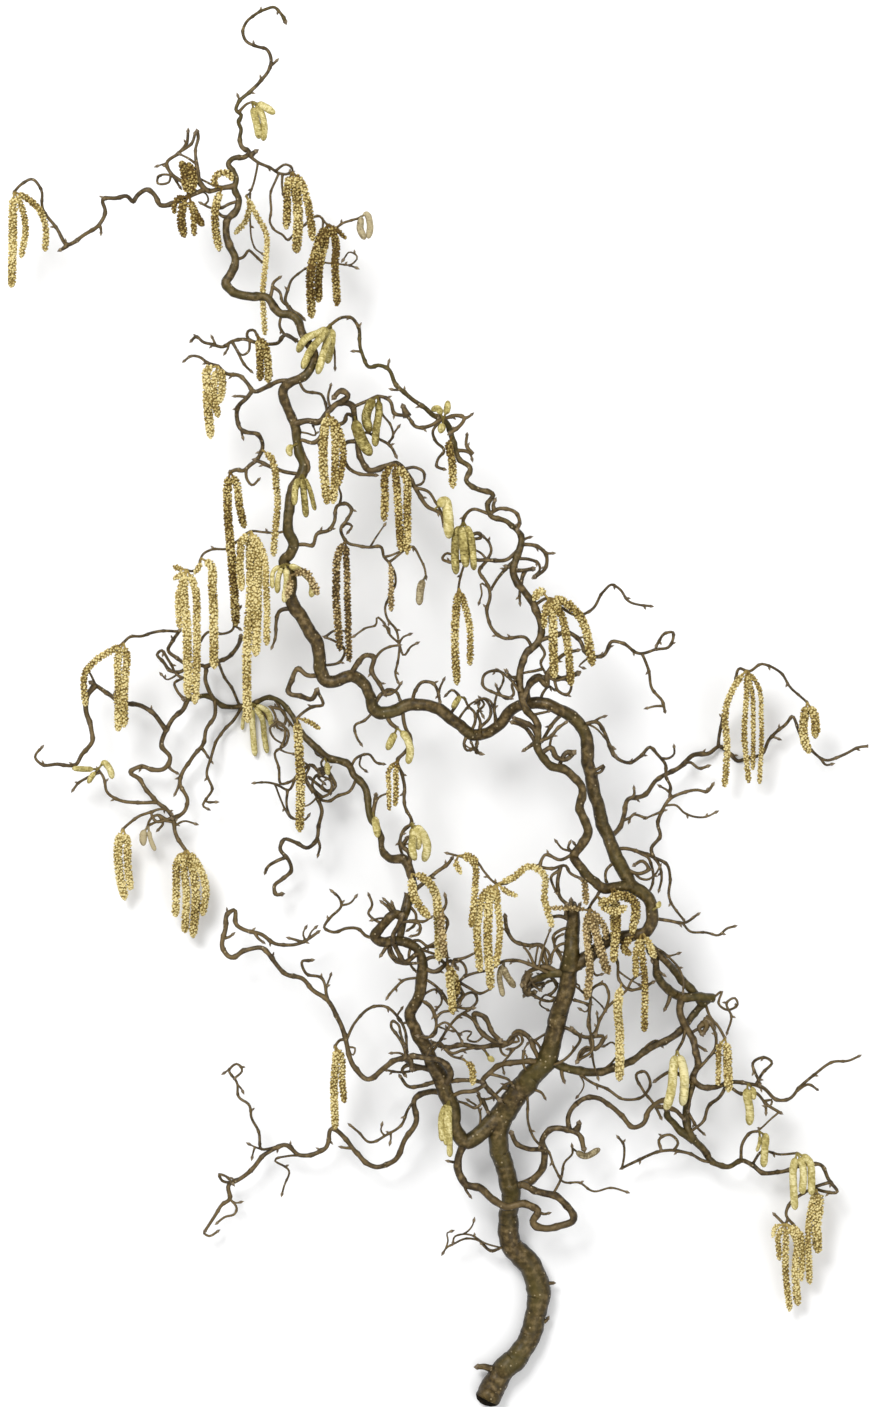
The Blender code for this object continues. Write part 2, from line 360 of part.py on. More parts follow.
            (236, 187), (222, 188, 96, 5), (208, 191, 98, 5), (200, 183, 99, 6), (197, 166), (195, 150, 96, 3), (198, 136),
            (197, 131)]),
        (62, 5, 3, [
            (203, 190), (190, 196, 92, 5), (175, 202), (160, 205, 86, 5), (154, 194), (148, 189, 82), (138, 195),
            (133, 202, 78, 4.5), (127, 196), (115, 198), (103, 200, 74, 4), (105, 210), (99, 225, 70), (82, 236),
            (67, 245, 64, 4), (57, 228), (43, 210, 68, 3), (41, 190), (32, 179, 72), (20, 185), (14, 192)]),
        (90, 4, 3, [(196, 190), (184, 183), (171, 173), (167, 163), (178, 153), (187, 143), (188, 131)]),
        (100, 3, 3, [(179, 154), (192, 142), (195, 133)]),
        (84, 2.5, 2.5, [(172, 172), (169, 182), (157, 183), (158, 176), (170, 175), (180, 187)]),
    ]),
}

# Each bunch of catkins: how its catkins look, where its stalk stands on the wood, whether it lies
# over the wood (1) or under it (-1), and each catkin's width and plan points.
BUNCHES = {
    "b_low_stem": ("closed", (447, 1101), 1, [
        (7, [(443, 1112), (442, 1142)]), (6.5, [(449, 1112), (450, 1158)]), (6, [(447, 1112), (446, 1146)])]),
    "b_left_limb": ("open", (335, 1046), 1, [
        (8, [(336, 1055), (334, 1080), (335, 1130)]), (7, [(341, 1056), (342, 1080), (344, 1103)])]),
    "b_stem_fork": ("open", (413, 874), 1, [
        (9, [(412, 886), (415, 898), (429, 916)]), (9, [(425, 878), (434, 890), (438, 920), (439, 960)])]),
    "b_web": ("open", (447, 967), 1, [(8, [(449, 975), (451, 992), (453, 1014)])]),
    "b_arch_left": ("open", (459, 856), 1, [
        (6, [(468, 855), (478, 861)]), (6, [(456, 862), (461, 874)]), (7, [(473, 862), (475, 890), (471, 927)])]),
    "b_arch": ("open", (497, 884), 1, [
        (8, [(486, 892), (478, 920), (480, 972)]), (9, [(491, 895), (488, 925), (491, 990)]),
        (7, [(497, 895), (500, 930), (496, 968)]), (6, [(506, 891), (517, 896)]),
        (7, [(512, 878), (530, 866), (543, 873), (545, 900), (553, 928)])]),
    "b_left_web": ("brown", (504, 961), 1, [
        (6, [(504, 968), (515, 988)]), (5, [(500, 972), (503, 997)])]),
    "b_brown": ("brown", (588, 911), 1, [
        (5, [(575, 908), (550, 908)]), (8, [(588, 925), (590, 968), (587, 1000)]),
        (8, [(594, 920), (599, 948), (607, 973)])]),
    "b_elbow": ("open", (614, 894), 1, [
        (8, [(613, 905), (615, 935), (614, 962)]), (8, [(622, 897), (634, 900), (637, 914), (634, 927)])]),
    "b_elbow_low": ("open", (642, 936), 1, [
        (7, [(642, 948), (645, 980), (645, 1033)]), (7, [(637, 948), (636, 977)]), (7, [(649, 945), (656, 958)])]),
    "b_long": ("open", (619, 984), 1, [(9, [(618, 998), (620, 1035), (620, 1082)])]),
    "b_right_pair": ("closed", (677, 1051), 1, [
        (8, [(674, 1062), (671, 1085), (665, 1108)]), (8, [(682, 1064), (684, 1085), (682, 1105)])]),
    "b_right_loop": ("open", (725, 1037), 1, [
        (9, [(727, 1048), (728, 1070), (729, 1092)]), (6, [(719, 1047), (719, 1065), (718, 1085)])]),
    "b_right_mid": ("closed", (748, 1083), 1, [
        (9, [(747, 1092), (750, 1110), (750, 1126)]), (6, [(753, 1090), (754, 1100)])]),
    "b_low_small": ("closed", (758, 1131), 1, [
        (8, [(765, 1136), (765, 1148), (764, 1168)]), (4, [(760, 1141), (757, 1152)])]),
    "b_low_right": ("open", (797, 1153), 1, [
        (8, [(794, 1165), (794, 1190), (796, 1211)]), (8, [(802, 1163), (803, 1195)]),
        (8, [(809, 1161), (812, 1180), (812, 1196)])]),
    "b_low_end": ("open", (816, 1189), 1, [
        (7, [(812, 1205), (809, 1230), (811, 1286)]), (10, [(819, 1200), (817, 1225), (819, 1254)])]),
    "b_low_fork": ("closed", (785, 1224), 1, [
        (5, [(776, 1227), (773, 1238)]), (6, [(780, 1232), (780, 1261)]),
        (7, [(786, 1235), (786, 1268), (791, 1313)]), (8, [(795, 1235), (796, 1275), (799, 1307)]),
        (6, [(800, 1233), (803, 1255), (802, 1282)])]),
    "b_reach": ("open", (745, 672), 1, [
        (8, [(736, 684), (727, 705), (728, 750), (726, 787)]), (8, [(747, 690), (746, 730), (750, 783)]),
        (7, [(752, 690), (753, 730), (753, 770)]), (6, [(758, 685), (761, 720), (761, 784)])]),
    "b_reach_tip": ("open", (807, 702), 1, [
        (9, [(814, 714), (816, 738)]), (9, [(805, 714), (804, 735), (810, 753)])]),
    "b_mid": ("closed", (397, 729), 1, [
        (8, [(393, 737), (387, 750)]), (8, [(406, 737), (410, 748), (408, 764)])]),
    "b_mid_small": ("open", (398, 760), 1, [
        (5, [(390, 768), (389, 790), (389, 810)]), (6, [(396, 770), (396, 788), (395, 806)])]),
    "b_mid_low": ("closed", (411, 823), 1, [
        (8, [(413, 835), (412, 845), (415, 860)]), (9, [(422, 833), (427, 845), (424, 862)]),
        (7, [(418, 835), (418, 850)])]),
    "b_left_mid": ("open", (297, 718), 1, [
        (9, [(298, 735), (300, 780), (299, 832)]), (5, [(308, 721), (320, 729)])]),
    "b_foot": ("closed", (252, 704), 1, [
        (8, [(252, 715), (254, 735), (256, 756)]), (8, [(259, 716), (262, 735), (265, 754)]), (8, [(264, 712), (270, 728)])]),
    "b_left_curl": ("closed", (98, 769), 1, [
        (6, [(86, 769), (73, 768)]), (7, [(104, 763), (110, 770), (112, 779)]), (6, [(93, 775), (88, 783)])]),
    "b_low_left": ("open", (123, 829), 1, [
        (9, [(119, 840), (118, 865), (124, 900)]), (8, [(127, 842), (127, 860), (130, 890)])]),
    "b_left_head": ("open", (186, 850), 1, [
        (8, [(178, 860), (176, 885), (175, 917)]), (8, [(184, 862), (186, 895), (184, 933)]),
        (9, [(190, 860), (195, 885), (192, 938)]), (8, [(196, 862), (205, 885), (202, 916)])]),
    "b_left_arch": ("open", (123, 643), 1, [
        (7, [(110, 651), (97, 659), (86, 670), (84, 706)]), (8, [(119, 653), (118, 685), (117, 731)]),
        (8, [(126, 653), (124, 685), (123, 727)])]),
    "b_long_left": ("open", (231, 472), 1, [
        (8, [(228, 482), (226, 510), (232, 550), (235, 625)]), (8, [(235, 482), (240, 505), (247, 527)])]),
    "b_curtain": ("open", (250, 531), 1, [
        (8, [(243, 540), (240, 560), (241, 590)]), (9, [(250, 543), (250, 590), (246, 650), (246, 722)]),
        (9, [(256, 545), (257, 590), (255, 655)]), (7, [(262, 550), (266, 590), (266, 645)])]),
    "b_thin": ("open", (263, 449), 1, [(7, [(271, 458), (277, 490), (274, 556)])]),
    "b_elbow_small": ("closed", (284, 564), 1, [
        (5, [(274, 570), (272, 588)]), (6, [(279, 574), (277, 593)]), (7, [(287, 578), (284, 602)]),
        (7, [(301, 571), (312, 583), (311, 597)])]),
    "b_trunk_trio": ("closed", (301, 474), 1, [
        (7, [(297, 483), (294, 505)]), (7, [(303, 485), (306, 517)]), (5, [(308, 485), (315, 510)])]),
    "b_brown_pair": ("brown", (343, 541), 1, [
        (8, [(339, 552), (336, 585), (340, 650)]), (7, [(346, 552), (347, 590), (349, 661)])]),
    "b_curl_trio": ("open", (394, 465), 1, [
        (8, [(386, 473), (385, 495), (384, 520)]), (8, [(396, 478), (399, 520), (401, 550)]),
        (8, [(404, 474), (407, 510), (407, 553)])]),
    "b_brown_thin": ("brown", (389, 562), 1, [(6, [(391, 572), (391, 590), (391, 611)])]),
    "b_pale": ("closed", (437, 502), 1, [(9, [(445, 501), (448, 515), (449, 538)])]),
    "b_green": ("closed", (463, 523), 1, [
        (7, [(457, 532), (455, 550), (456, 574)]), (8, [(463, 534), (466, 567)]), (6, [(469, 532), (474, 570)])]),
    "b_neck": ("open", (450, 436), 1, [(8, [(449, 445), (452, 460), (453, 487)])]),
    "b_hanging": ("open", (459, 589), 1, [
        (8, [(457, 602), (455, 630), (457, 684)]), (7, [(464, 602), (469, 622), (470, 665)])]),
    "b_shoulder": ("open", (548, 599), 1, [
        (9, [(540, 591), (534, 600)]), (9, [(552, 612), (553, 640), (554, 677)]), (7, [(545, 610), (544, 627)]),
        (9, [(565, 602), (579, 615), (593, 665)]), (8, [(560, 612), (567, 640), (571, 685)])]),
    "b_top": ("closed", (252, 102), 1, [
        (8, [(254, 112), (257, 125), (259, 138)]), (7, [(260, 110), (264, 124), (263, 140)]),
        (8, [(262, 105), (275, 113)])]),
    "b_top_right": ("open", (292, 172), 1, [
        (8, [(288, 183), (287, 205), (286, 228)]), (10, [(295, 185), (298, 215), (296, 251)]),
        (8, [(301, 182), (307, 200), (313, 240)])]),
    "b_top_far": ("open", (328, 225), 1, [
        (9, [(322, 235), (312, 265), (311, 316)]), (8, [(326, 238), (319, 270), (318, 301)]),
        (8, [(334, 235), (335, 270), (337, 304)]), (5, [(337, 230), (346, 238)])]),
    "b_top_dry": ("brown", (359, 218), 1, [(7, [(359, 227), (364, 239)]), (7, [(367, 219), (370, 228), (368, 237)])]),
    "b_top_mid": ("open", (246, 195), 1, [
        (6, [(250, 205), (246, 220), (234, 233)]), (6, [(256, 214), (265, 230), (266, 262), (265, 286)])]),
    "b_top_trunk": ("open", (222, 188), 1, [
        (7, [(214, 183), (216, 175), (226, 172), (233, 180)]), (8, [(217, 200), (215, 225), (219, 249)])]),
    "b_far_tip": ("open", (14, 192), 1, [
        (9, [(13, 205), (12, 240), (10, 286)]), (7, [(20, 203), (25, 225), (20, 256)]),
        (7, [(27, 198), (38, 208), (44, 220), (44, 250)])]),
    "b_top_left": ("open", (187, 193), 1, [
        (9, [(186, 183), (184, 170), (181, 160)]), (9, [(193, 184), (192, 172), (188, 163)]),
        (6, [(178, 198), (174, 206), (174, 213)]), (9, [(184, 203), (181, 220), (184, 236)]),
        (8, [(191, 203), (196, 215), (203, 225)]), (6, [(192, 207), (194, 235)])]),
    "b_ring": ("open", (257, 335), 1, [
        (8, [(259, 345), (260, 360), (260, 380)]), (8, [(264, 344), (268, 365), (268, 382)])]),
    "b_upper_left": ("open", (216, 366), 1, [
        (9, [(209, 368), (207, 390), (210, 437)]), (8, [(215, 377), (214, 400), (218, 416)]),
        (8, [(221, 372), (222, 388), (218, 403)])]),
    "b_five": ("closed", (330, 325), 1, [
        (8, [(322, 332), (305, 341), (298, 353)]), (8, [(323, 336), (310, 354), (303, 370)]),
        (8, [(328, 338), (323, 358), (318, 375)]), (8, [(332, 337), (330, 350), (327, 363)])]),
    "b_curl_green": ("closed", (378, 397), 1, [
        (10, [(372, 402), (366, 418), (370, 432)]), (8, [(379, 408), (376, 430), (375, 446)])]),
    "b_curl_fat": ("closed", (355, 416), 1, [(10, [(357, 428), (363, 442), (371, 455)])]),
    "b_curtain_mid": ("open", (326, 413), 1, [
        (9, [(325, 426), (323, 460), (327, 503)]), (8, [(333, 425), (335, 460), (333, 502)]),
        (7, [(339, 430), (343, 455), (338, 485)])]),
    "b_pale_head": ("closed", (443, 419), 1, [
        (7, [(437, 408), (431, 410)]), (7, [(447, 409), (448, 400)]), (9, [(442, 426), (440, 433)])]),
    "b_far_left": ("open", (201, 558), 1, [
        (9, [(209, 563), (212, 590), (213, 668)]), (6, [(199, 567), (194, 573)])]),
    "b_left_tall": ("open", (187, 570), 1, [
        (9, [(184, 582), (186, 620), (187, 697)]), (8, [(193, 582), (196, 630), (194, 703)]),
        (7, [(179, 592), (179, 628)]), (6, [(181, 569), (173, 566)]), (6, [(180, 575), (173, 579)])]),
}


def keyed(values):
    """Fills the gaps between the values that a route gives, evenly by its points."""
    known = [i for i, value in enumerate(values) if value is not None]
    return np.interp(range(len(values)), known, [values[i] for i in known])


def smooth(points):
    """A smooth curve through the points, whose pace follows their distance, every ROUTE_STEP."""
    points = np.asarray(points, float)
    gaps = np.maximum(np.linalg.norm(np.diff(points[:, :2], axis=0), axis=1), 0.5)
    slopes = np.diff(points, axis=0) / gaps[:, None]
    tangents = np.vstack([slopes[:1], slopes[:-1], ]) if len(slopes) > 1 else np.repeat(slopes, 2, axis=0)
    if len(slopes) > 1:
        weight = (gaps[1:] / (gaps[1:] + gaps[:-1]))[:, None]
        inner = slopes[:-1] * weight + slopes[1:] * (1 - weight)
        tangents = np.vstack([slopes[:1], inner, slopes[-1:]])
    found = []
    for start, end, leave, arrive, gap in zip(points, points[1:], tangents, tangents[1:], gaps):
        for t in np.linspace(0, 1, max(2, round(gap / ROUTE_STEP) + 1))[:-1]:
            found.append(
                (2 * t**3 - 3 * t**2 + 1) * start + (t**3 - 2 * t**2 + t) * gap * leave
                + (3 * t**2 - 2 * t**3) * end + (t**3 - t**2) * gap * arrive)
    return np.array(found + [points[-1]])


def placed(plan):
    """Plan x, plan y, height in mm and width to metres and radius, drawn as seen from above."""
    height = plan[:, 2] * MILLIMETRE
    nearer = PLAN_UNIT * (1 - height / SIGHT_HEIGHT)
    x = (plan[:, 0] - PLAN_MIDDLE[0]) * nearer
    y = (PLAN_MIDDLE[1] - plan[:, 1]) * nearer
    return np.column_stack([x, y, height, plan[:, 3] * PLAN_UNIT / 2])


def length_along(plan):
    """The distance along a route to each of its points, in plan units."""
    return np.concatenate([[0], np.cumsum(np.linalg.norm(np.diff(plan[:, :2], axis=0), axis=1))])


def over_itself(plan, along):
    """Lifts the later part of a curl clear of the earlier part that it crosses."""
    x, y, z, w = plan.T
    reach = (w[:, None] + w[None, :]) / 2 + 1
    apart = np.hypot(x[:, None] - x[None, :], y[:, None] - y[None, :])
    later = along[:, None] - along[None, :] > 2.5 * reach
    rise = np.sqrt(np.maximum(reach**2 - apart**2, 0)) * PLAN_UNIT / MILLIMETRE
    needed = np.where(later & (apart < reach), z[None, :] + rise, -np.inf).max(axis=1)
    climb = np.max(needed[None, :] - 0.6 * np.abs(along[:, None] - along[None, :]), axis=1)
    plan[:, 2] = np.maximum(z, climb)


def wood_route(route, start, sways):
    """One route as plan rows of x, y, height and width, starting on the wood that it grows on."""
    tip_height, root_width, tip_width, points = route
    heights = [point[2] if len(point) > 2 else None for point in points]
    widths = [point[3] if len(point) > 3 else None for point in points]
    places = [point[:2] for point in points]
    if start is not None:
        places[0] = start[:2]
        heights[0] = start[2]
    heights[-1] = tip_height
    widths[0] = root_width
    widths[-1] = tip_width
    plan = smooth([(x, y, z, w) for (x, y), z, w in zip(places, keyed(heights), keyed(widths))])
    along = length_along(plan)
    if sways:
        plan[:, 2] += TWIG_SWAY * np.minimum(1, along / 20) * np.sin(along / SWAY_LENGTH * 2 * math.pi)
    over_itself(plan, along)
    from_foot = np.min([np.linalg.norm(plan[:, :2] - foot, axis=1) for foot in FEET], axis=0)
    least = plan[:, 3] * PLAN_UNIT / 2 / MILLIMETRE + FLOOR_GAP / MILLIMETRE
    plan[:, 2] = np.where(from_foot > FOOT_REACH, np.maximum(plan[:, 2], least), plan[:, 2])
    return plan


def nearest_in(plans, place):
    """The route and the sample in it that lie nearest to a place in plan."""
    gaps = [np.linalg.norm(plan[:, :2] - place, axis=1) for plan in plans]
    best = min(range(len(plans)), key=lambda i: gaps[i].min())
    return best, int(np.argmin(gaps[best]))


def grow_wood():
    """Every route of the branch in plan, and the samples that something else grows from."""
    limbs = {}
    plans = []
    joints = []
    for name, (parent, own) in LIMBS.items():
        home = list(limbs.get(parent, []))
        for i, route in enumerate(own):
            start = None
            if home:
                nearest, sample = nearest_in([plans[k] for k in home], route[3][0][:2])
                start = plans[home[nearest]][sample]
                joints[home[nearest]].add(sample)
            plans.append(wood_route(route, start, sways=i > 0))
            joints.append(set())
            home = [len(plans) - 1] if i == 0 else home + [len(plans) - 1]
        limbs[name] = home
    return plans, joints


def kept(rows, joints):
    """A coarser route: samples where it has turned or run far enough, and those that carry others."""
    steps = np.diff(rows[:, :3], axis=0)
    far = np.linalg.norm(steps, axis=1)
    steps /= np.maximum(far, 1e-9)[:, None]
    chosen = [0]
    turned = gone = 0.0
    for i in range(1, len(rows) - 1):
        turned += math.acos(max(-1.0, min(1.0, float(steps[i - 1] @ steps[i]))))
        gone += far[i - 1]
        if i in joints and gone < 3 * PLAN_UNIT and chosen[-1] not in joints and len(chosen) > 1:
            chosen[-1] = i
            turned = gone = 0.0
        elif turned > WOOD_TURN or gone > WOOD_RUN * PLAN_UNIT or i in joints:
            chosen.append(i)
            turned = gone = 0.0
    if gone + far[-1] < 3 * PLAN_UNIT and chosen[-1] not in joints and len(chosen) > 2:
        chosen.pop()
    return rows[chosen + [len(rows) - 1]]


def dense(rows, step=1.2):
    """Points all along a coarse route, close enough to measure gaps from."""
    found = []
    for start, end in zip(rows, rows[1:]):
        count = max(2, int(np.linalg.norm(end[:3] - start[:3]) / (step * PLAN_UNIT)) + 1)
        found += [start + (end - start) * t for t in np.linspace(0, 1, count)[:-1]]
    return np.array(found + [rows[-1]])


def clearance_height(rows, solids, side, ceiling):
    """How high each point must lie to pass over (or under) the solids, -inf where it is free."""
    needed = np.full(len(rows), -np.inf)
    for i, (x, y, z, r) in enumerate(rows):
        reach = solids[:, 3] + r + SEAT_GAP
        apart = np.hypot(solids[:, 0] - x, solids[:, 1] - y)
        near = apart < reach
        if near.any():
            rise = solids[near, 2] * side + np.sqrt(reach[near] ** 2 - apart[near] ** 2)
            rise = rise[rise < ceiling]
            needed[i] = rise.max() if len(rise) else -np.inf
    return needed


def settle(rows, solids, side):
    """Lifts a catkin, in a smooth climb, clear of everything that it crosses."""
    settled = rows.copy()
    settled[:, 2] *= side
    ceiling = settled[0, 2] + CLIMB_LIMIT
    along = np.concatenate([[0], np.cumsum(np.linalg.norm(np.diff(rows[:, :2], axis=0), axis=1))])
    settled[:, 2] -= CATKIN_DROOP * along
    floor = side * (rows[:, 3] + FLOOR_GAP)
    for _ in range(6):
        fine = dense(settled)
        fine_along = np.concatenate([[0], np.cumsum(np.linalg.norm(np.diff(fine[:, :2], axis=0), axis=1))])
        needed = clearance_height(fine, solids, side, ceiling)
        needed[fine_along < 2 * PLAN_UNIT] = -np.inf
        short = needed - fine[:, 2]
        if short.max() <= 0:
            break
        climb = np.max(needed[None, :] - CLIMB_SLOPE * np.abs(along[:, None] - fine_along[None, :]), axis=1)
        climb[1:] += 0.2 * MILLIMETRE
        settled[1:, 2] = np.maximum(settled[1:, 2], climb[1:])
        fine[:, 2] = np.interp(fine_along, along, settled[:, 2])
        for i in np.nonzero(needed - fine[:, 2] > 0)[0]:
            after = max(1, min(len(along) - 1, int(np.searchsorted(along, fine_along[i]))))
            for k in {max(1, after - 1), after}:
                settled[k, 2] = max(settled[k, 2], needed[i] + 0.1 * MILLIMETRE)
    settled[:, 2] *= side
    settled[:, 2] = np.maximum(settled[:, 2], rows[:, 3] + FLOOR_GAP)
    return settled


def catkin_rows(seat, seat_height, order, width, points, look):
    """A catkin in metres: rings that stand out and draw in by turns between its stalk and its tip."""
    first = (seat[0] + 0.23 * order, seat[1] - 0.17 * order, seat_height, width)
    plan = smooth([first] + [(x, y, seat_height, width) for x, y in points])
    along = length_along(plan)
    count = int(np.clip(round((along[-1] - STALK_LENGTH) / SCALE_RINGS[look]), 2, MOST_RINGS))
    stops = np.concatenate([[0, STALK_LENGTH], np.linspace(STALK_LENGTH, along[-1], count + 2)[1:]])
    stops[2] = min(stops[2], STALK_LENGTH + 6)
    rows = np.column_stack([np.interp(stops, along, plan[:, k]) for k in range(4)])
    out, back = SCALE_RELIEF[look]
    rows[2:-1, 3] *= [back if i % 2 else out for i in range(count)]
    rows[:2, 3] = STALK_WIDTH * (1 + 0.07 * order)
    rows[-1, 3] *= 0.4
    return placed(rows)


def material(name, colour, roughness):
    made = bpy.data.materials.new(name)
    made.use_nodes = True
    shader = made.node_tree.nodes["Principled BSDF"]
    shader.inputs["Base Color"].default_value = (*colour, 1)
    shader.inputs["Roughness"].default_value = roughness
    shader.inputs["Metallic"].default_value = 0.0
    return made


def tube(name, rows, sides, home, tilts=None):
    """A bevelled curve with filled caps along the rows, as a welded mesh."""
    curve = bpy.data.curves.new(name, "CURVE")
    curve.dimensions = "3D"
    curve.bevel_depth = 1.0
    curve.bevel_resolution = (sides - 4) // 2
    curve.use_fill_caps = True
    line = curve.splines.new("POLY")
    line.points.add(len(rows) - 1)
    for i, (x, y, z, r) in enumerate(rows):
        line.points[i].co = (x, y, z, 1)
        line.points[i].radius = r
        line.points[i].tilt = tilts[i] if tilts is not None else 0.0
    guide = bpy.data.objects.new(name + "_curve", curve)
    bpy.context.scene.collection.objects.link(guide)
    graph = bpy.context.evaluated_depsgraph_get()
    mesh = bpy.data.meshes.new_from_object(guide.evaluated_get(graph))
    shape = bmesh.new()
    shape.from_mesh(mesh)
    bmesh.ops.remove_doubles(shape, verts=shape.verts, dist=0.00002)
    bmesh.ops.recalc_face_normals(shape, faces=shape.faces)
    bmesh.ops.triangulate(shape, faces=shape.faces)
    shape.to_mesh(mesh)
    shape.free()
    made = bpy.data.objects.new(name, mesh)
    made.matrix_world = guide.matrix_world
    bpy.data.objects.remove(guide)
    home.objects.link(made)
    return made


def fused(name, pieces, collection, finish):
    """Joins the pieces of a collection with one Boolean union and removes them."""
    first = pieces.objects[0]
    pieces.objects.unlink(first)
    collection.objects.link(first)
    first.name = name
    if len(pieces.objects):
        union = first.modifiers.new("union", "BOOLEAN")
        union.operation = "UNION"
        union.solver = "MANIFOLD"
        union.operand_type = "COLLECTION"
        union.collection = pieces
        graph = bpy.context.evaluated_depsgraph_get()
        mesh = bpy.data.meshes.new_from_object(first.evaluated_get(graph))
        first.modifiers.clear()
        keep_outer_shell(mesh)
        first.data = mesh
    for piece in list(pieces.objects):
        bpy.data.objects.remove(piece)
    bpy.data.collections.remove(pieces)
    first.data.materials.clear()
    first.data.materials.append(finish)
    return first


def shells_of(shape):
    """The separate closed shells of a bmesh, as lists of faces."""
    left = set(shape.faces)
    shells = []
    while left:
        shell = [left.pop()]
        for face in shell:
            for edge in face.edges:
                for other in edge.link_faces:
                    if other in left:
                        left.remove(other)
                        shell.append(other)
        shells.append(shell)
    return shells


def signed_volume(shell):
    return sum(f.verts[0].co.dot(a.vert.co.cross(b.vert.co)) / 6 for f in shell for a, b in zip(f.loops[1:], f.loops[2:]))


def keep_outer_shell(mesh):
    """Fills hollows that the union sealed, and drops loose scrap: the largest shell stays."""
    shape = bmesh.new()
    shape.from_mesh(mesh)
    shells = sorted(shells_of(shape), key=signed_volume)
    for shell in shells[:-1]:
        bmesh.ops.delete(shape, geom=shell, context="FACES")
    shape.to_mesh(mesh)
    shape.free()


def gathering(name):
    made = bpy.data.collections.new(name)
    bpy.context.scene.collection.children.link(made)
    return made


def cut_at_table(branch, cutters):
    """Flattens the branch where it lies on the table, at z = 0."""
    bpy.ops.mesh.primitive_cube_add(size=1)
    table = bpy.context.object
    table.name = "table_cutter"
    table.dimensions = (2, 2, 0.1)
    table.location = (0, 0, -0.05)
    bpy.context.collection.objects.unlink(table)
    cutters.objects.link(table)
    table.hide_render = True
    table.display_type = "WIRE"
    cut = branch.modifiers.new("table", "BOOLEAN")
    cut.operation = "DIFFERENCE"
    cut.solver = "MANIFOLD"
    cut.object = table


def wood_sides(rows):
    widest = rows[:, 3].max() / PLAN_UNIT * 2
    return 8 if widest > 12 else 6 if widest > 7 else 4


def make_wood(lines, collection, cutters):
    pieces = gathering("wood_pieces")
    for i, rows in enumerate(lines):
        tube(f"wood_{i}", rows, wood_sides(rows), pieces)
    branch = fused("branch", pieces, collection, material("bark", WOOD_COLOUR, 0.8))
    cut_at_table(branch, cutters)
    return branch


def surface(made):
    """A search tree of an object's faces, and points all along its edges."""
    places = [vertex.co.copy() for vertex in made.data.vertices]
    tree = BVHTree.FromPolygons(places, [tuple(face.vertices) for face in made.data.polygons])
    points = []
    for edge in made.data.edges:
        start, end = (places[i] for i in edge.vertices)
        count = max(1, int((end - start).length / MILLIMETRE))
        points += [start.lerp(end, k / count) for k in range(count + 1)]
    return tree, points


def shift(made, rise):
    for vertex in made.data.vertices:
        vertex.co.z += rise


def seat_bunch(made, side, placed_trees):
    """Moves a bunch up out of whatever it still touches, then down until it all but rests."""
    total = 0.0
    tree, points = surface(made)
    for _ in range(30):
        if not any(tree.overlap(other) for other, _ in placed_trees):
            break
        shift(made, side * LIFT_STEP)
        total += side * LIFT_STEP
        tree, points = surface(made)
    for _ in range(24):
        gap = min(other.find_nearest(point, 0.02)[3] or 1 for other, _ in placed_trees for point in points)
        gap = min([gap] + [tree.find_nearest(p, gap)[3] or 1 for _, theirs in placed_trees for p in theirs])
        drop = side * (gap - SEAT_GAP)
        lowest = min(vertex.co.z for vertex in made.data.vertices)
        drop = min(drop, lowest - FLOOR_GAP)
        if abs(drop) < 0.00003:
            break
        shift(made, -drop)
        total -= drop
        tree, points = surface(made)
    return tree, points, total


def make_bunches(seats, wood_lines, branch, collection, finishes):
    """Every bunch of catkins, the lowest first, each laid over the wood and the bunches below it."""
    solids = np.vstack([dense(line) for line in wood_lines])
    trees = [surface(branch)]
    for name in sorted(BUNCHES, key=lambda name: seats[name][2]):
        look, _, side, catkins = BUNCHES[name]
        seat = placed(np.array([[*seats[name][:3], STALK_WIDTH]]))
        ceiling = seat[0, 2] * side + CLIMB_LIMIT
        height = side * clearance_height(seat, solids, side, ceiling)[0] / MILLIMETRE
        pieces = gathering(name + "_pieces")
        relief = "closed" if look == "closed" else "open"
        hung = []
        for i, (width, points) in enumerate(catkins):
            rows = settle(catkin_rows(seats[name], height, i, width, points, relief), solids, side)
            tube(f"{name}_{i}", rows, 4, pieces, [math.radians(45) * (k % 2) for k in range(len(rows))])
            hung.append(dense(rows))
        made = fused(name, pieces, collection, finishes[look])
        tree, points, moved = seat_bunch(made, side, trees)
        trees.append((tree, points))
        hung = np.vstack(hung)
        hung[:, 2] += moved
        solids = np.vstack([solids, hung])


def main():
    for old in list(bpy.data.objects):
        bpy.data.objects.remove(old)
    collection = gathering("corkscrew_hazel_branch")
    cutters = gathering("cutters")
    plans, joints = grow_wood()
    seats = {}
    for name, (_, root, _, _) in BUNCHES.items():
        route, sample = nearest_in(plans, root)
        joints[route].add(sample)
        seats[name] = plans[route][sample]
    lines = [
        kept(placed(plan), carried)
        for plan, carried in zip(plans, joints)
        if carried or plan[:, 3].max() > FINEST_WOOD
    ]
    branch = make_wood(lines, collection, cutters)
    finishes = {look: material(f"catkin_{look}", colour, 0.75) for look, colour in CATKIN_COLOURS.items()}
    make_bunches(seats, lines, branch, collection, finishes)


main()
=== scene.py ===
"""Corkscrew hazel branch with catkins, lying on a pale table and seen from above."""
import math

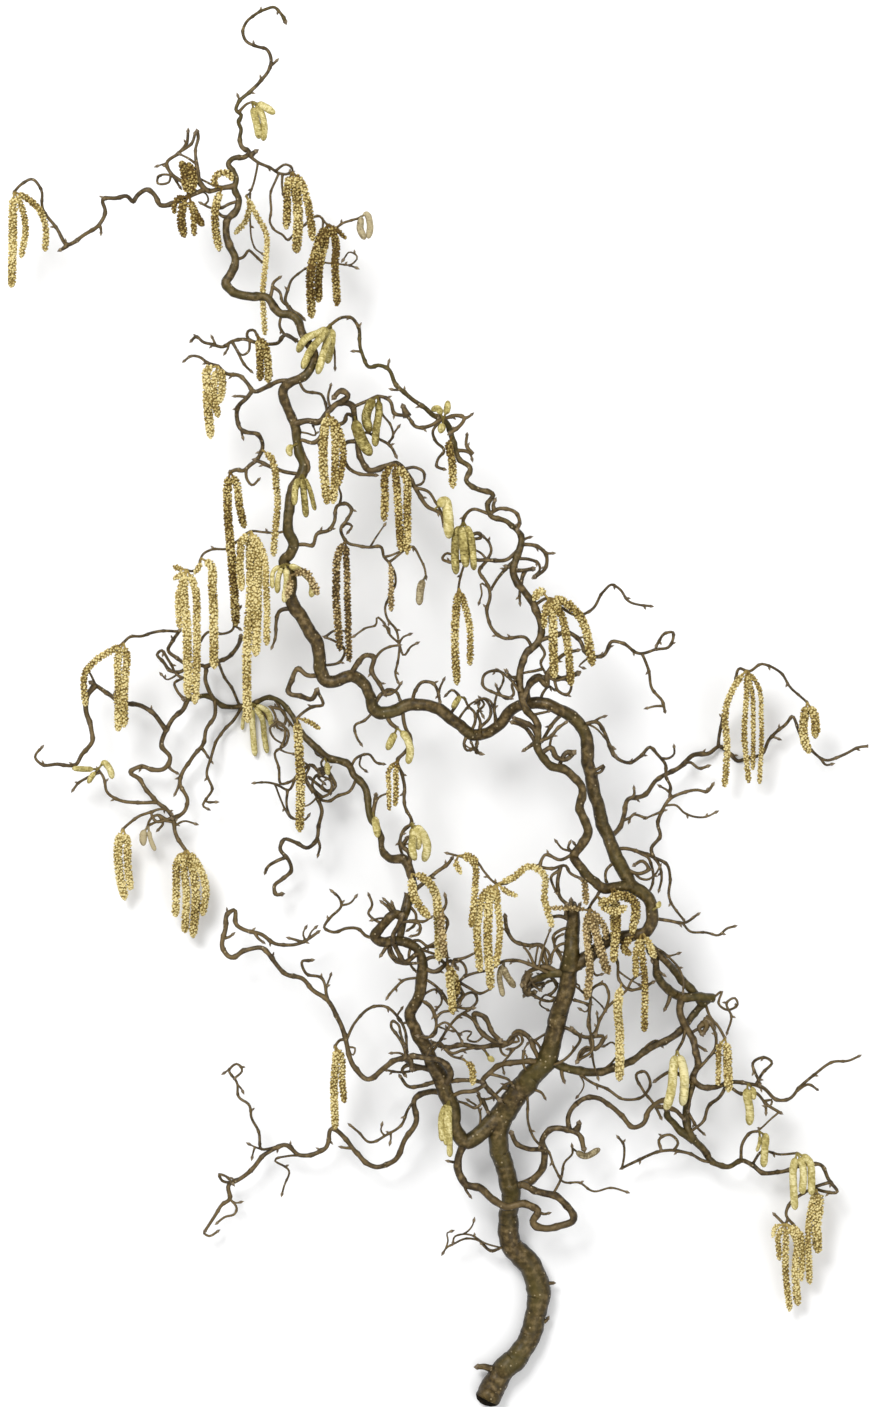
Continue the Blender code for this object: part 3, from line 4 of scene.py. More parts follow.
import bpy
import numpy as np
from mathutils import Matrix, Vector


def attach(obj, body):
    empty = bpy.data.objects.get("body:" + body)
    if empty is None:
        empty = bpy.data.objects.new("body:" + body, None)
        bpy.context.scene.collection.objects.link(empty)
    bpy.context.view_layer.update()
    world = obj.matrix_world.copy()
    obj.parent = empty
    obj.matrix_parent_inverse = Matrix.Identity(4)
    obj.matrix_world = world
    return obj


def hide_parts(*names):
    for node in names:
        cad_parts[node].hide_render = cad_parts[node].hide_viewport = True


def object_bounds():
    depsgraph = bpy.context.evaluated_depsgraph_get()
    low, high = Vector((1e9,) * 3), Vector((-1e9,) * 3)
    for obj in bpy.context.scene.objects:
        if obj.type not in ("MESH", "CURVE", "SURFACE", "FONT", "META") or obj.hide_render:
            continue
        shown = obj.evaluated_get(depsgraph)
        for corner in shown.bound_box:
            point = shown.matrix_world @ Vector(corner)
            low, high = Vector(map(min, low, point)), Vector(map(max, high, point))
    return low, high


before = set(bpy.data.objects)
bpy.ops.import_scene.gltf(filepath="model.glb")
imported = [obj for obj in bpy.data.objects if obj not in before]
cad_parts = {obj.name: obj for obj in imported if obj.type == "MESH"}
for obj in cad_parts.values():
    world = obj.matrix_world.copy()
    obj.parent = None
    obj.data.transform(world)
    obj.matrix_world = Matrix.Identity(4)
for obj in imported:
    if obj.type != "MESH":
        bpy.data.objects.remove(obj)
CAD_BOX = [[float(v) for v in corner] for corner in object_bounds()]

# The wood: a cut hazel branch, bent and spiralled as it grew. Trunk, limbs and twigs are one
# piece of wood. Every route is drawn in plan and starts on the wood that it grows on.
PLAN_UNIT = 0.0008
PLAN_MIDDLE = (439.0, 713.4)
SIGHT_HEIGHT = 4.69
MILLIMETRE = 0.001
ROUTE_STEP = 2.0
FLOOR_GAP = 0.0025
TWIG_SWAY = 3.0
SWAY_START = 20
SWAY_LENGTH = 46.0
CURL_SLOPE = 0.6
FOOT_REACH = 16.0
FEET = ((500, 1385), (240, 707), (738, 761))
STOUT_WIDTH = 8
STOUT_AROUND, STOUT_STEP = 14, 2.0
THIN_AROUND, THIN_STEP = 7, 2.4
BUD_WIDTH = 6
BUD_START = 6
BUD_GAPS = (9, 24)
BUD_AROUND = 6
LENTICEL = (0.46, 0.37, 0.22, 1)

# Each limb: its name, what it grows on, then its routes. A route is the height of its tip above
# the table in mm, its width at the root and at the tip, and its plan points. A point may add its
# height in mm and its width. The first route is the limb, the others are its twigs.
LIMBS = {
    "trunk": (None, [
        (80, 25, 4, [(487, 1399, 9.0), (500, 1374, 9.0, 24), (521, 1352, 10, 22), (533, 1326, 11, 21),
            (538, 1301), (538, 1285, 12, 24), (533, 1270, 13), (524, 1259), (512, 1245, 17, 22),
            (508, 1230), (509, 1214, 22, 19), (511, 1198), (509, 1182), (504, 1166), (500, 1150, 35, 19),
            (498, 1130), (507, 1108, 43, 24), (520, 1090), (533, 1075, 50, 22), (545, 1062),
            (552, 1045, 57, 19), (556, 1025, 60), (562, 1005), (567, 985, 68, 17), (571, 968, 71),
            (585, 958), (600, 947, 75, 13), (613, 938, 77), (628, 936), (643, 933), (652, 922, 83, 12),
            (652, 908), (643, 893), (630, 884), (624, 872, 80, 14), (617, 857), (610, 842),
            (604, 827, 76, 13), (599, 810), (595, 795), (591, 778), (588, 760), (587, 745, 90, 13),
            (585, 732), (578, 722), (568, 714), (555, 707, 95, 12), (540, 703), (527, 703, 90),
            (514, 708), (505, 718, 80, 11), (495, 728), (482, 735, 72), (470, 733), (458, 724),
            (446, 714), (433, 707, 86, 12), (418, 704), (402, 707), (390, 712), (379, 713, 85, 13),
            (373, 706), (369, 695, 90, 11), (365, 684), (356, 677), (346, 677, 98), (335, 681),
            (325, 680, 95, 13), (320, 668), (320, 655), (317, 644), (310, 631), (302, 618),
            (295, 608, 100, 13), (291, 597), (291, 583), (288, 570), (284, 562, 100, 11), (290, 554),
            (293, 545, 105), (289, 532), (288, 517, 110, 10), (290, 502), (294, 488), (301, 476, 108, 11),
            (304, 464), (300, 453), (297, 441, 106, 9), (294, 422), (287, 407), (283, 398, 112, 9.5),
            (284, 388), (290, 383), (298, 379), (307, 373, 118), (313, 363), (315, 354), (309, 345),
            (303, 335, 110, 8), (298, 320), (291, 315), (280, 313), (274, 306), (268, 298, 100, 8),
            (253, 297), (237, 293), (225, 283, 98, 9), (230, 275), (235, 266), (235, 257), (229, 246),
            (226, 232, 96, 7), (228, 219), (237, 208), (239, 199), (235, 188, 95, 6), (236, 178),
            (231, 170), (228, 164), (232, 159), (245, 157, 90, 5), (249, 153), (242, 147), (240, 138),
            (241, 129, 86, 4), (238, 122), (241, 115), (236, 110), (239, 102), (250, 91), (261, 81),
            (269, 69, 95, 3.5), (271, 59), (267, 49), (255, 46), (246, 41), (243, 31, 92, 3), (247, 21),
            (254, 15), (264, 10), (275, 7), (280, 12, 82, 3), (285, 21)]),
        (12, 6, 4, [(492, 1369), (485, 1366), (478, 1366)]),
        (70, 17, 9, [(571, 968), (571, 950), (573, 930, 78, 14), (573, 912, 74, 12), (572, 904)]),
        (32, 2.5, 2, [(499, 1249), (490, 1250), (480, 1241), (465, 1239), (455, 1243), (446, 1248),
            (443, 1253)]),
        (28, 2, 2, [(498, 1239), (484, 1243), (470, 1235), (462, 1234), (454, 1237), (453, 1243)]),
        (56, 3, 2, [(536, 1092), (528, 1105), (528, 1122), (534, 1138), (548, 1151), (555, 1168),
            (562, 1181), (580, 1183), (593, 1191), (612, 1188), (627, 1192)]),
        (92, 3.5, 2, [(240, 112), (243, 107), (248, 103), (252, 102)]),
        (78, 3.5, 2.5, [(251, 157), (258, 162), (270, 167), (279, 173), (288, 174), (292, 172)]),
        (70, 2.5, 2.5, [(279, 174), (275, 182), (271, 192), (271, 210), (270, 222), (275, 230),
            (283, 235), (287, 240), (295, 233), (304, 225), (312, 218), (319, 216), (326, 223),
            (335, 228), (343, 223), (351, 220), (359, 218)]),
        (70, 2.5, 2, [(257, 163), (256, 174), (253, 186), (250, 193), (246, 196)]),
        (80, 3.5, 2.5, [(236, 258), (243, 257), (249, 250), (254, 254), (262, 262)]),
        (84, 3, 2.5, [(281, 314), (280, 326), (285, 334), (291, 338), (299, 342)]),
        (70, 4, 3, [(297, 342), (285, 335), (278, 343), (270, 344), (254, 342), (242, 339), (232, 341),
            (223, 347), (213, 344), (203, 342), (196, 337), (191, 341)]),
        (84, 3, 3, [(253, 342), (247, 337), (248, 331), (254, 330), (257, 335)]),
        (80, 4, 2, [(303, 327), (290, 311), (285, 300), (288, 290), (292, 279), (300, 272), (306, 268)]),
        (75, 5, 2.5, [(294, 379), (280, 381), (267, 387), (254, 391), (248, 384), (238, 375), (226, 373),
            (217, 366), (207, 362), (200, 357), (192, 356), (184, 361)]),
        (80, 4.5, 4, [(251, 391), (246, 399), (239, 406), (237, 417), (240, 428), (248, 432), (257, 434),
            (262, 441), (263, 448), (256, 460), (250, 465), (243, 471), (236, 470), (230, 472)]),
        (94, 4, 4, [(294, 472), (285, 472), (271, 467), (262, 462), (255, 460)]),
        (104, 3, 3, [(298, 381), (306, 391), (314, 392), (321, 394), (325, 402), (327, 413)]),
        (96, 2.5, 2.5, [(288, 530), (275, 533), (262, 532), (250, 531), (240, 539), (228, 548),
            (211, 550), (203, 554), (200, 560), (198, 567), (192, 571), (187, 570)]),
        (88, 4, 3, [(293, 545), (305, 544), (312, 545), (317, 534), (328, 530), (334, 522), (338, 505),
            (346, 503), (351, 509), (347, 520), (341, 528), (343, 537), (348, 543), (357, 545),
            (370, 547), (381, 547), (384, 557), (389, 562)]),
        (80, 2.5, 2.5, [(389, 562), (395, 573), (396, 583), (389, 597), (385, 607), (387, 617),
            (396, 630), (399, 643)]),
        (74, 2.5, 2, [(399, 643), (403, 637), (410, 634)]),
        (90, 2.5, 2, [(399, 644), (390, 635), (383, 622), (377, 617), (376, 624), (366, 628),
            (354, 636)]),
        (80, 2.5, 2, [(399, 645), (404, 655), (411, 646), (417, 643)]),
        (82, 2.5, 2.5, [(399, 646), (398, 662), (395, 674), (398, 682)]),
        (84, 5, 2, [(290, 610), (280, 611), (276, 623), (275, 640), (272, 647)]),
        (96, 5, 5, [(319, 676), (306, 675), (298, 669), (292, 678), (290, 693), (300, 696), (312, 699),
            (317, 690)]),
        (86, 3.5, 3, [(318, 690), (323, 705), (313, 707), (304, 712), (297, 718)]),
        (80, 3, 2.5, [(368, 713), (364, 721), (355, 725), (357, 738), (361, 744)]),
        (84, 5, 4, [(386, 714), (390, 722), (397, 728)]),
        (62, 4, 3, [(402, 708), (406, 728), (411, 738), (405, 752), (398, 760), (402, 775), (405, 788),
            (404, 803), (411, 823), (403, 832), (400, 845), (404, 858)]),
        (104, 6, 4, [(350, 676), (357, 663), (366, 655), (373, 657), (372, 670), (379, 684), (385, 694)]),
        (100, 3, 2.5, [(376, 661), (382, 650), (390, 646), (399, 645)]),
        (98, 4, 3, [(412, 703), (415, 690), (422, 682), (432, 683), (439, 694), (440, 702)]),
        (86, 3, 2.5, [(330, 665), (341, 660), (345, 650), (335, 641), (325, 637)]),
        (110, 4, 4, [(303, 478), (308, 470), (304, 455), (301, 440), (313, 442), (321, 435), (322, 428),
            (324, 418)]),
        (58, 4, 3, [(586, 722), (598, 722), (605, 733), (611, 750), (620, 760), (630, 763), (641, 755),
            (650, 747), (657, 754), (666, 765), (666, 777), (671, 787), (670, 795)]),
        (60, 4, 2.5, [(614, 850), (625, 848), (641, 852), (653, 857), (667, 864), (670, 880), (669, 895),
            (675, 909), (684, 920)]),
        (68, 4, 3, [(653, 857), (651, 849), (660, 835), (658, 825), (661, 812), (668, 801), (681, 793),
            (698, 790), (707, 792), (713, 784)]),
        (64, 2.5, 2, [(664, 806), (676, 805), (684, 812), (697, 817), (706, 817), (716, 812)]),
        (86, 4, 3.5, [(628, 864), (640, 873), (648, 869), (642, 861), (634, 865)]),
        (78, 4, 2.5, [(652, 918), (668, 920), (686, 922), (698, 914)]),
        (62, 2.5, 2.5, [(683, 922), (690, 931), (705, 932), (718, 935), (727, 928), (735, 926)]),
        (60, 9, 6, [(562, 972), (545, 975), (530, 984), (527, 993)]),
        (84, 4, 3, [(550, 972), (535, 967), (515, 960), (504, 961), (497, 965), (490, 970)]),
        (74, 4, 4, [(549, 975), (545, 957), (540, 945), (528, 945), (514, 941), (507, 928), (505, 916)]),
        (78, 3, 2.5, [(566, 970), (560, 957), (554, 945), (557, 937), (563, 934)]),
        (70, 4, 4, [(556, 1025), (570, 1029), (585, 1037), (604, 1037), (598, 1047), (585, 1050),
            (577, 1062)]),
        (76, 3, 3, [(545, 1070), (560, 1062), (574, 1050), (580, 1038), (572, 1028)]),
        (84, 3, 3, [(596, 1072), (592, 1050), (590, 1030), (590, 1005), (593, 988), (604, 984),
            (609, 994), (606, 1008), (600, 1020), (596, 1034)]),
        (78, 3, 2.5, [(606, 1007), (617, 998), (626, 990), (633, 979), (640, 974)]),
        (72, 3, 3, [(613, 945), (618, 963), (619, 980), (628, 989), (642, 988), (653, 982)]),
        (64, 6, 5, [(545, 1063), (520, 1062), (503, 1064), (491, 1072), (482, 1081), (491, 1091),
            (500, 1100)]),
        (60, 5, 5, [(540, 1064), (534, 1050), (527, 1035), (518, 1031), (511, 1042), (496, 1045),
            (480, 1047), (464, 1045), (448, 1047), (430, 1042)]),
        (78, 5, 5, [(508, 1044), (491, 1040), (477, 1026), (475, 1014), (484, 1016), (492, 1033),
            (501, 1041)])]),
    "left_stem": ("trunk", [
        (28, 16, 5, [(508, 1108), (495, 1120, 43, 18), (480, 1133, 44), (466, 1142, 45, 15), (455, 1130),
            (452, 1110, 50, 16), (447, 1095), (440, 1078, 58, 16), (432, 1062), (424, 1045, 65, 13),
            (415, 1030), (410, 1015, 70, 11), (417, 1000), (421, 985, 76, 12), (422, 965),
            (418, 950, 83, 9), (408, 942), (395, 941, 88, 10), (382, 941), (374, 936, 95), (380, 928),
            (388, 920, 101), (395, 914, 102, 9), (403, 915), (409, 900, 92), (413, 885, 84, 7),
            (411, 872, 78), (404, 860, 72, 10), (390, 858, 66), (382, 848, 60, 6), (380, 835),
            (376, 825, 55), (370, 815), (367, 800, 48, 7), (365, 787), (360, 780), (354, 775, 42, 7),
            (348, 765), (340, 761), (328, 757, 37, 7), (318, 750), (310, 742, 32, 7), (303, 734),
            (297, 725, 26), (292, 715, 24, 5), (285, 705), (275, 699, 19), (267, 698), (258, 701, 9, 5),
            (250, 705, 4), (240, 707, 1.7, 5), (231, 707, 4.5), (222, 705, 9), (213, 699, 13),
            (203, 696, 18, 5), (193, 698), (184, 699)]),
        (112, 5, 5, [(418, 952), (404, 962), (397, 950), (393, 936), (398, 925), (402, 915)]),
        (92, 3.5, 2.5, [(376, 938), (366, 936), (358, 929), (347, 928), (333, 932), (324, 928),
            (331, 917), (341, 905), (338, 896), (332, 891)]),
        (90, 3, 2.5, [(386, 927), (375, 920), (368, 913), (372, 905), (369, 895)]),
        (80, 3, 2.5, [(416, 977), (403, 981), (393, 990), (387, 998)]),
        (86, 3, 3, [(442, 940), (445, 932), (448, 921), (442, 912), (446, 903), (445, 895)]),
        (80, 3.5, 3, [(427, 950), (434, 944), (442, 940), (447, 953), (447, 968)]),
        (82, 3, 3, [(424, 978), (435, 985), (443, 993), (449, 1003), (462, 1008), (473, 1008)]),
        (84, 3, 3, [(418, 1000), (428, 1003), (436, 1017), (435, 1030), (427, 1038), (418, 1036)]),
        (72, 5, 4, [(440, 1084), (455, 1080), (468, 1080), (482, 1082)]),
        (66, 5, 4, [(448, 1098), (460, 1092), (474, 1090), (484, 1085)]),
        (86, 3, 3, [(447, 1048), (447, 1030), (458, 1016), (470, 1009), (477, 1000), (474, 993),
            (464, 995), (459, 1004)]),
        (92, 3, 3, [(464, 994), (459, 982), (466, 973), (462, 962), (454, 959), (452, 966)]),
        (84, 4, 2.5, [(392, 941), (389, 950), (395, 960), (405, 964), (416, 963)]),
        (46, 3, 2.5, [(351, 768), (356, 758), (369, 754), (377, 763), (384, 764)]),
        (42, 5, 4, [(374, 818), (374, 806), (376, 794)]),
        (34, 3.5, 3, [(357, 779), (349, 792), (338, 796), (328, 801), (318, 799)]),
        (48, 3, 2.5, [(318, 799), (312, 789), (305, 777), (309, 766), (303, 762)]),
        (26, 4, 4, [(318, 798), (322, 810), (319, 826), (317, 838), (307, 848), (296, 843), (284, 839),
            (280, 848), (289, 860), (291, 870), (283, 879), (274, 886), (276, 895), (282, 894)]),
        (44, 3, 2.5, [(318, 800), (330, 792), (331, 781), (320, 775)]),
        (40, 3, 2.5, [(303, 762), (292, 781), (281, 784), (279, 768), (275, 752), (286, 744), (288, 731),
            (280, 725)]),
        (26, 3, 2, [(296, 778), (289, 790), (275, 784), (263, 782), (254, 783)]),
        (30, 3, 2, [(288, 788), (287, 806), (291, 816), (300, 821)]),
        (22, 3.5, 3, [(252, 704), (262, 711), (272, 722), (285, 724), (284, 712), (271, 707)]),
        (34, 3.5, 2.5, [(242, 709), (234, 720), (220, 735), (211, 757), (207, 773), (212, 790),
            (206, 801), (216, 802)]),
        (30, 3, 3, [(240, 702), (232, 689), (224, 676), (219, 664)]),
        (46, 4.5, 3.5, [(213, 700), (209, 691), (205, 680), (205, 667), (190, 665), (176, 658),
            (168, 650), (173, 641), (180, 630)]),
        (48, 4.5, 4, [(205, 667), (218, 661), (230, 656), (238, 645), (241, 635)]),
        (64, 3, 2.5, [(196, 662), (200, 641), (208, 632), (222, 634), (232, 630), (235, 616),
            (241, 606)]),
        (62, 3, 3, [(178, 632), (165, 631), (150, 633), (142, 636), (130, 637), (123, 643)]),
        (50, 4, 2.5, [(190, 665), (180, 672), (170, 671), (163, 661), (157, 654), (161, 650), (169, 661),
            (178, 675), (186, 678)]),
        (28, 4, 4, [(213, 702), (215, 716), (206, 730), (203, 744), (192, 758), (183, 772), (180, 784),
            (188, 801), (184, 812), (172, 818)])]),
    "left_arm": ("left_stem", [
        (30, 5, 4, [(187, 699), (184, 709, 24), (173, 719), (166, 730, 30), (162, 745), (170, 758),
            (163, 769), (152, 770), (142, 766), (131, 773), (138, 778, 20), (146, 789), (157, 802),
            (167, 809), (173, 820), (175, 832), (181, 843), (187, 852)]),
        (48, 5, 4, [(166, 729), (152, 713), (136, 704), (121, 703), (106, 692), (97, 686), (90, 682)]),
        (44, 6, 2.5, [(95, 684), (88, 695), (86, 709), (91, 728), (93, 740), (82, 754), (76, 765),
            (58, 764), (42, 765), (35, 757), (42, 747)]),
        (36, 4, 2.5, [(157, 802), (140, 803), (120, 800), (107, 792), (103, 777), (98, 769)]),
        (34, 3, 2.5, [(98, 774), (87, 778), (78, 784), (73, 790)]),
        (30, 3.5, 2.5, [(171, 819), (155, 821), (151, 813), (163, 809), (172, 814)]),
        (30, 3, 3, [(152, 811), (140, 816), (130, 823), (123, 829)]),
        (24, 3, 2.5, [(172, 822), (160, 821), (148, 826)]),
        (30, 2.5, 2, [(174, 826), (184, 821), (196, 824)])]),
    "front_loop": ("left_stem", [
        (46, 8, 7, [(463, 1144), (459, 1158), (459, 1172, 44), (465, 1184), (480, 1187, 44), (493, 1200),
            (506, 1206, 46), (525, 1204), (538, 1210, 46), (533, 1222), (545, 1228), (560, 1226, 42),
            (573, 1219), (569, 1208), (558, 1198), (540, 1192), (520, 1184)]),
        (34, 3, 2, [(552, 1195), (561, 1178), (564, 1163), (573, 1152), (572, 1146)])]),
    "lower_right": ("trunk", [
        (50, 8, 5, [(513, 1187), (532, 1179), (543, 1168), (544, 1153), (542, 1140), (552, 1129),
            (567, 1129), (578, 1134), (584, 1149)]),
        (48, 5, 5, [(541, 1149), (527, 1149), (516, 1144), (511, 1132)]),
        (58, 5, 5, [(570, 1129), (568, 1116), (579, 1101), (598, 1098), (609, 1104), (621, 1115),
            (635, 1127), (643, 1124), (650, 1109), (659, 1101), (669, 1098)])]),
    "right_limb": ("trunk", [
        (38, 9, 8, [(548, 1060), (560, 1065, 52), (585, 1072, 50), (608, 1070, 48, 8), (632, 1060, 45, 7),
            (655, 1045, 42), (680, 1032), (695, 1012, 38, 7), (711, 997)]),
        (38, 9, 9, [(642, 935), (649, 948, 76, 6), (655, 961, 68, 6), (658, 976, 56, 8),
            (668, 990, 46, 9), (680, 996, 40), (696, 997), (713, 998)]),
        (40, 8, 2.5, [(682, 998), (680, 1010), (686, 1026), (694, 1043, 46, 7), (698, 1063), (694, 1080),
            (702, 1087, 50, 6), (716, 1087), (728, 1082), (744, 1083, 45, 4), (763, 1087), (777, 1100),
            (790, 1098), (800, 1087), (817, 1072), (833, 1062), (850, 1060), (859, 1056)]),
        (44, 3, 3, [(697, 1043), (705, 1050)]),
        (42, 3.5, 3, [(686, 1027), (683, 1040), (677, 1051)]),
        (50, 3, 3, [(705, 1003), (710, 1016), (719, 1027), (725, 1038)]),
        (58, 3.5, 3, [(696, 1073), (706, 1060), (715, 1048), (716, 1035), (709, 1022)]),
        (56, 2.5, 2.5, [(713, 997), (722, 991), (719, 1004), (728, 1010), (738, 1004), (735, 998),
            (727, 1003), (731, 1016), (727, 1033)]),
        (38, 4, 3, [(728, 1085), (719, 1098), (709, 1106), (703, 1121), (690, 1132)]),
        (34, 3.5, 3, [(729, 1084), (740, 1093), (756, 1093), (767, 1104), (781, 1113)]),
        (58, 3, 3, [(756, 1084), (763, 1072), (772, 1062), (765, 1057), (753, 1063), (756, 1074),
            (760, 1084)]),
        (32, 3, 2.5, [(798, 1092), (809, 1084), (818, 1090)]),
        (40, 3, 3, [(575, 1070), (590, 1081), (607, 1089), (624, 1099), (642, 1097), (650, 1084),
            (644, 1071), (637, 1073), (643, 1090), (655, 1106), (661, 1118)]),
        (32, 6, 3, [(697, 1079), (691, 1092, 45, 6), (687, 1108), (686, 1122, 38, 8), (693, 1138),
            (702, 1148, 34, 7), (712, 1161), (728, 1167, 30, 5), (741, 1160), (752, 1165), (762, 1172),
            (780, 1172), (800, 1166), (821, 1165), (828, 1178), (837, 1192), (824, 1191), (816, 1189)]),
        (44, 5, 4, [(670, 1096), (676, 1110), (684, 1119)]),
        (46, 3.5, 3, [(741, 1159), (742, 1144), (751, 1132), (759, 1131)]),
        (42, 3, 2.5, [(754, 1163), (762, 1151), (780, 1154), (797, 1153)]),
        (24, 3.5, 3, [(829, 1184), (818, 1186), (803, 1194), (790, 1203), (786, 1214), (795, 1226),
            (799, 1233)]),
        (24, 3, 3, [(788, 1218), (785, 1224), (779, 1219), (774, 1214)]),
        (26, 3.5, 3, [(714, 1163), (704, 1161), (690, 1154), (672, 1150), (655, 1153), (640, 1159),
            (622, 1168)]),
        (48, 3, 3, [(674, 1151), (678, 1143), (670, 1135), (659, 1140), (661, 1150)]),
        (40, 2.5, 2.5, [(622, 1167), (624, 1155), (623, 1144), (618, 1137)])]),
    "low_left": ("left_stem", [
        (20, 7, 3, [(446, 1094), (430, 1092, 48, 6), (415, 1099, 44), (416, 1123), (404, 1142, 36),
            (395, 1160), (377, 1167, 30, 5), (357, 1154), (343, 1136), (332, 1129, 28, 4.5), (325, 1149),
            (313, 1154), (299, 1155), (285, 1145), (267, 1153, 24, 4.5), (252, 1169), (239, 1180),
            (229, 1185, 20, 4.5), (229, 1200), (222, 1205), (214, 1217), (205, 1231)]),
        (14, 2.5, 2.5, [(206, 1229), (204, 1233), (209, 1236), (218, 1231)]),
        (30, 2.5, 2.5, [(229, 1199), (237, 1209), (235, 1214), (225, 1217), (217, 1223)]),
        (32, 3, 2.5, [(232, 1184), (221, 1180), (219, 1174), (225, 1176), (233, 1184)]),
        (36, 2.5, 2, [(302, 1155), (289, 1156), (275, 1160), (289, 1171), (284, 1187), (282, 1194)]),
        (40, 3, 2.5, [(276, 1149), (261, 1149), (259, 1132), (251, 1117), (249, 1105), (239, 1097),
            (237, 1083), (229, 1070), (237, 1064), (242, 1070), (235, 1078)]),
        (38, 3, 2.5, [(416, 1096), (409, 1108), (402, 1124), (385, 1136), (369, 1142), (358, 1132),
            (350, 1125)])]),
    "left_limb": ("left_stem", [
        (44, 7, 3, [(446, 1086), (450, 1073, 70, 7), (441, 1061, 76, 6), (420, 1057, 78), (401, 1058, 74),
            (383, 1069, 66), (367, 1079), (355, 1069, 60), (347, 1045, 58, 5), (339, 1020),
            (327, 1000, 56), (313, 990), (303, 979, 54, 4.5), (288, 975), (274, 962), (263, 948),
            (245, 951, 50), (230, 957), (222, 948, 48, 5), (225, 932), (228, 914), (234, 910, 44),
            (237, 925), (247, 931), (261, 934, 42, 4), (277, 944), (296, 944), (312, 936), (318, 932)]),
        (44, 2.5, 2, [(331, 1002), (326, 990), (331, 974)]),
        (66, 3, 3, [(349, 1041), (355, 1022), (370, 1008), (385, 1006), (400, 1020), (405, 1030),
            (407, 1052)]),
        (50, 3, 3, [(346, 1038), (340, 1040), (335, 1046)]),
        (50, 3, 3, [(327, 1000), (321, 978), (306, 973), (302, 961), (312, 960)])]),
    "inner_limb": ("trunk", [
        (96, 11, 3, [(622, 896), (602, 887, 88), (582, 868, 92, 9), (573, 855), (580, 847),
            (588, 832, 98, 9), (584, 820), (580, 808), (582, 787, 104, 8), (568, 772), (548, 763, 108, 8),
            (538, 748), (538, 735, 110, 7), (536, 722), (524, 705, 108, 7), (520, 683),
            (524, 657, 105, 7), (539, 640), (541, 628), (535, 607), (525, 592, 102, 7), (513, 572),
            (520, 548, 98, 7), (521, 538), (508, 522, 96, 5), (490, 515), (488, 504), (493, 495),
            (478, 489, 94, 5), (466, 480), (470, 468), (459, 458, 92, 5), (455, 448), (452, 438),
            (450, 428), (442, 419, 88, 6), (434, 416), (426, 408, 92, 4.5), (408, 396), (396, 384),
            (388, 369, 96), (378, 365), (370, 367), (361, 350, 104, 3.5), (358, 327), (351, 317, 112),
            (342, 317), (330, 325, 116)]),
        (100, 3.5, 3, [(572, 853), (560, 860), (545, 855), (540, 866), (552, 868), (566, 866), (569, 872),
            (580, 878)]),
        (94, 4, 4, [(562, 867), (558, 884), (561, 898), (567, 904)]),
        (96, 2.5, 2.5, [(541, 865), (528, 868), (515, 879), (497, 884), (485, 872), (475, 860),
            (460, 856), (447, 853)]),
        (84, 3.5, 3, [(602, 887), (597, 896), (591, 905), (588, 914)]),
        (92, 5, 4, [(538, 745), (531, 735), (523, 726), (512, 722)]),
        (116, 4, 3, [(539, 742), (550, 736), (558, 728), (566, 722)]),
        (104, 5, 5, [(541, 752), (552, 747), (557, 757), (566, 759), (574, 752)]),
        (98, 6, 5, [(527, 700), (529, 685), (538, 678), (547, 686), (547, 674), (560, 678), (578, 673)]),
        (110, 3, 3, [(520, 695), (514, 684), (508, 677), (496, 670), (484, 675), (483, 685), (497, 694),
            (511, 698)]),
        (92, 3.5, 3.5, [(532, 648), (526, 638), (504, 638), (491, 627), (487, 612), (490, 595),
            (485, 580), (479, 571), (487, 560)]),
        (90, 4, 4, [(519, 548), (506, 560), (487, 560), (473, 558), (469, 552)]),
        (84, 2.5, 2.5, [(469, 553), (464, 566), (460, 580), (458, 592)]),
        (84, 4, 3.5, [(525, 545), (538, 546), (546, 555), (546, 568), (535, 577)]),
        (90, 4, 3, [(521, 559), (508, 567), (499, 577), (491, 589)]),
        (86, 4, 4, [(520, 585), (526, 570), (534, 569)]),
        (104, 4, 3.5, [(491, 513), (500, 508), (516, 513), (520, 523), (517, 530)]),
        (88, 3.5, 3.5, [(487, 514), (471, 510), (464, 519), (463, 524)]),
        (92, 3.5, 3, [(536, 605), (548, 598), (556, 604), (562, 608)]),
        (84, 5, 3, [(539, 640), (552, 636), (567, 632), (579, 640), (589, 655), (603, 656), (612, 641),
            (622, 643), (640, 653), (656, 649)]),
        (74, 3, 3, [(656, 648), (668, 647), (673, 632), (664, 634), (656, 646)]),
        (60, 3, 3, [(642, 654), (649, 670), (652, 689), (663, 702), (665, 712)]),
        (96, 3, 2.5, [(562, 608), (577, 615), (592, 609), (603, 592), (612, 584), (620, 589), (627, 600),
            (651, 606)]),
        (84, 4, 3, [(456, 450), (467, 451), (473, 454), (466, 446), (467, 434)]),
        (84, 3, 3, [(439, 424), (433, 432), (436, 441), (444, 450), (438, 459), (437, 466), (444, 469)])]),
    "curl_limb": ("trunk", [
        (84, 7, 3, [(297, 424), (307, 420, 112, 6), (319, 421), (329, 411, 114, 6), (340, 402),
            (350, 404, 108, 6), (355, 418), (357, 437, 98), (361, 458), (368, 470, 92, 6), (385, 466),
            (396, 464), (410, 477, 90, 5), (418, 493), (427, 506), (441, 513), (444, 526)]),
        (120, 6, 5, [(343, 401), (348, 395), (341, 391), (334, 397)]),
        (98, 3.5, 4, [(352, 407), (366, 401), (379, 396), (390, 401), (395, 413), (407, 416), (415, 426),
            (428, 426), (445, 418), (455, 415), (464, 418), (458, 428), (450, 433)]),
        (76, 2.5, 2.5, [(379, 397), (382, 413), (391, 426), (393, 437), (389, 442)]),
        (84, 3, 3, [(359, 440), (366, 432), (378, 438), (391, 447), (396, 456)]),
        (104, 3, 2.5, [(330, 410), (328, 397), (331, 384)])]),
    "right_reach": ("trunk", [
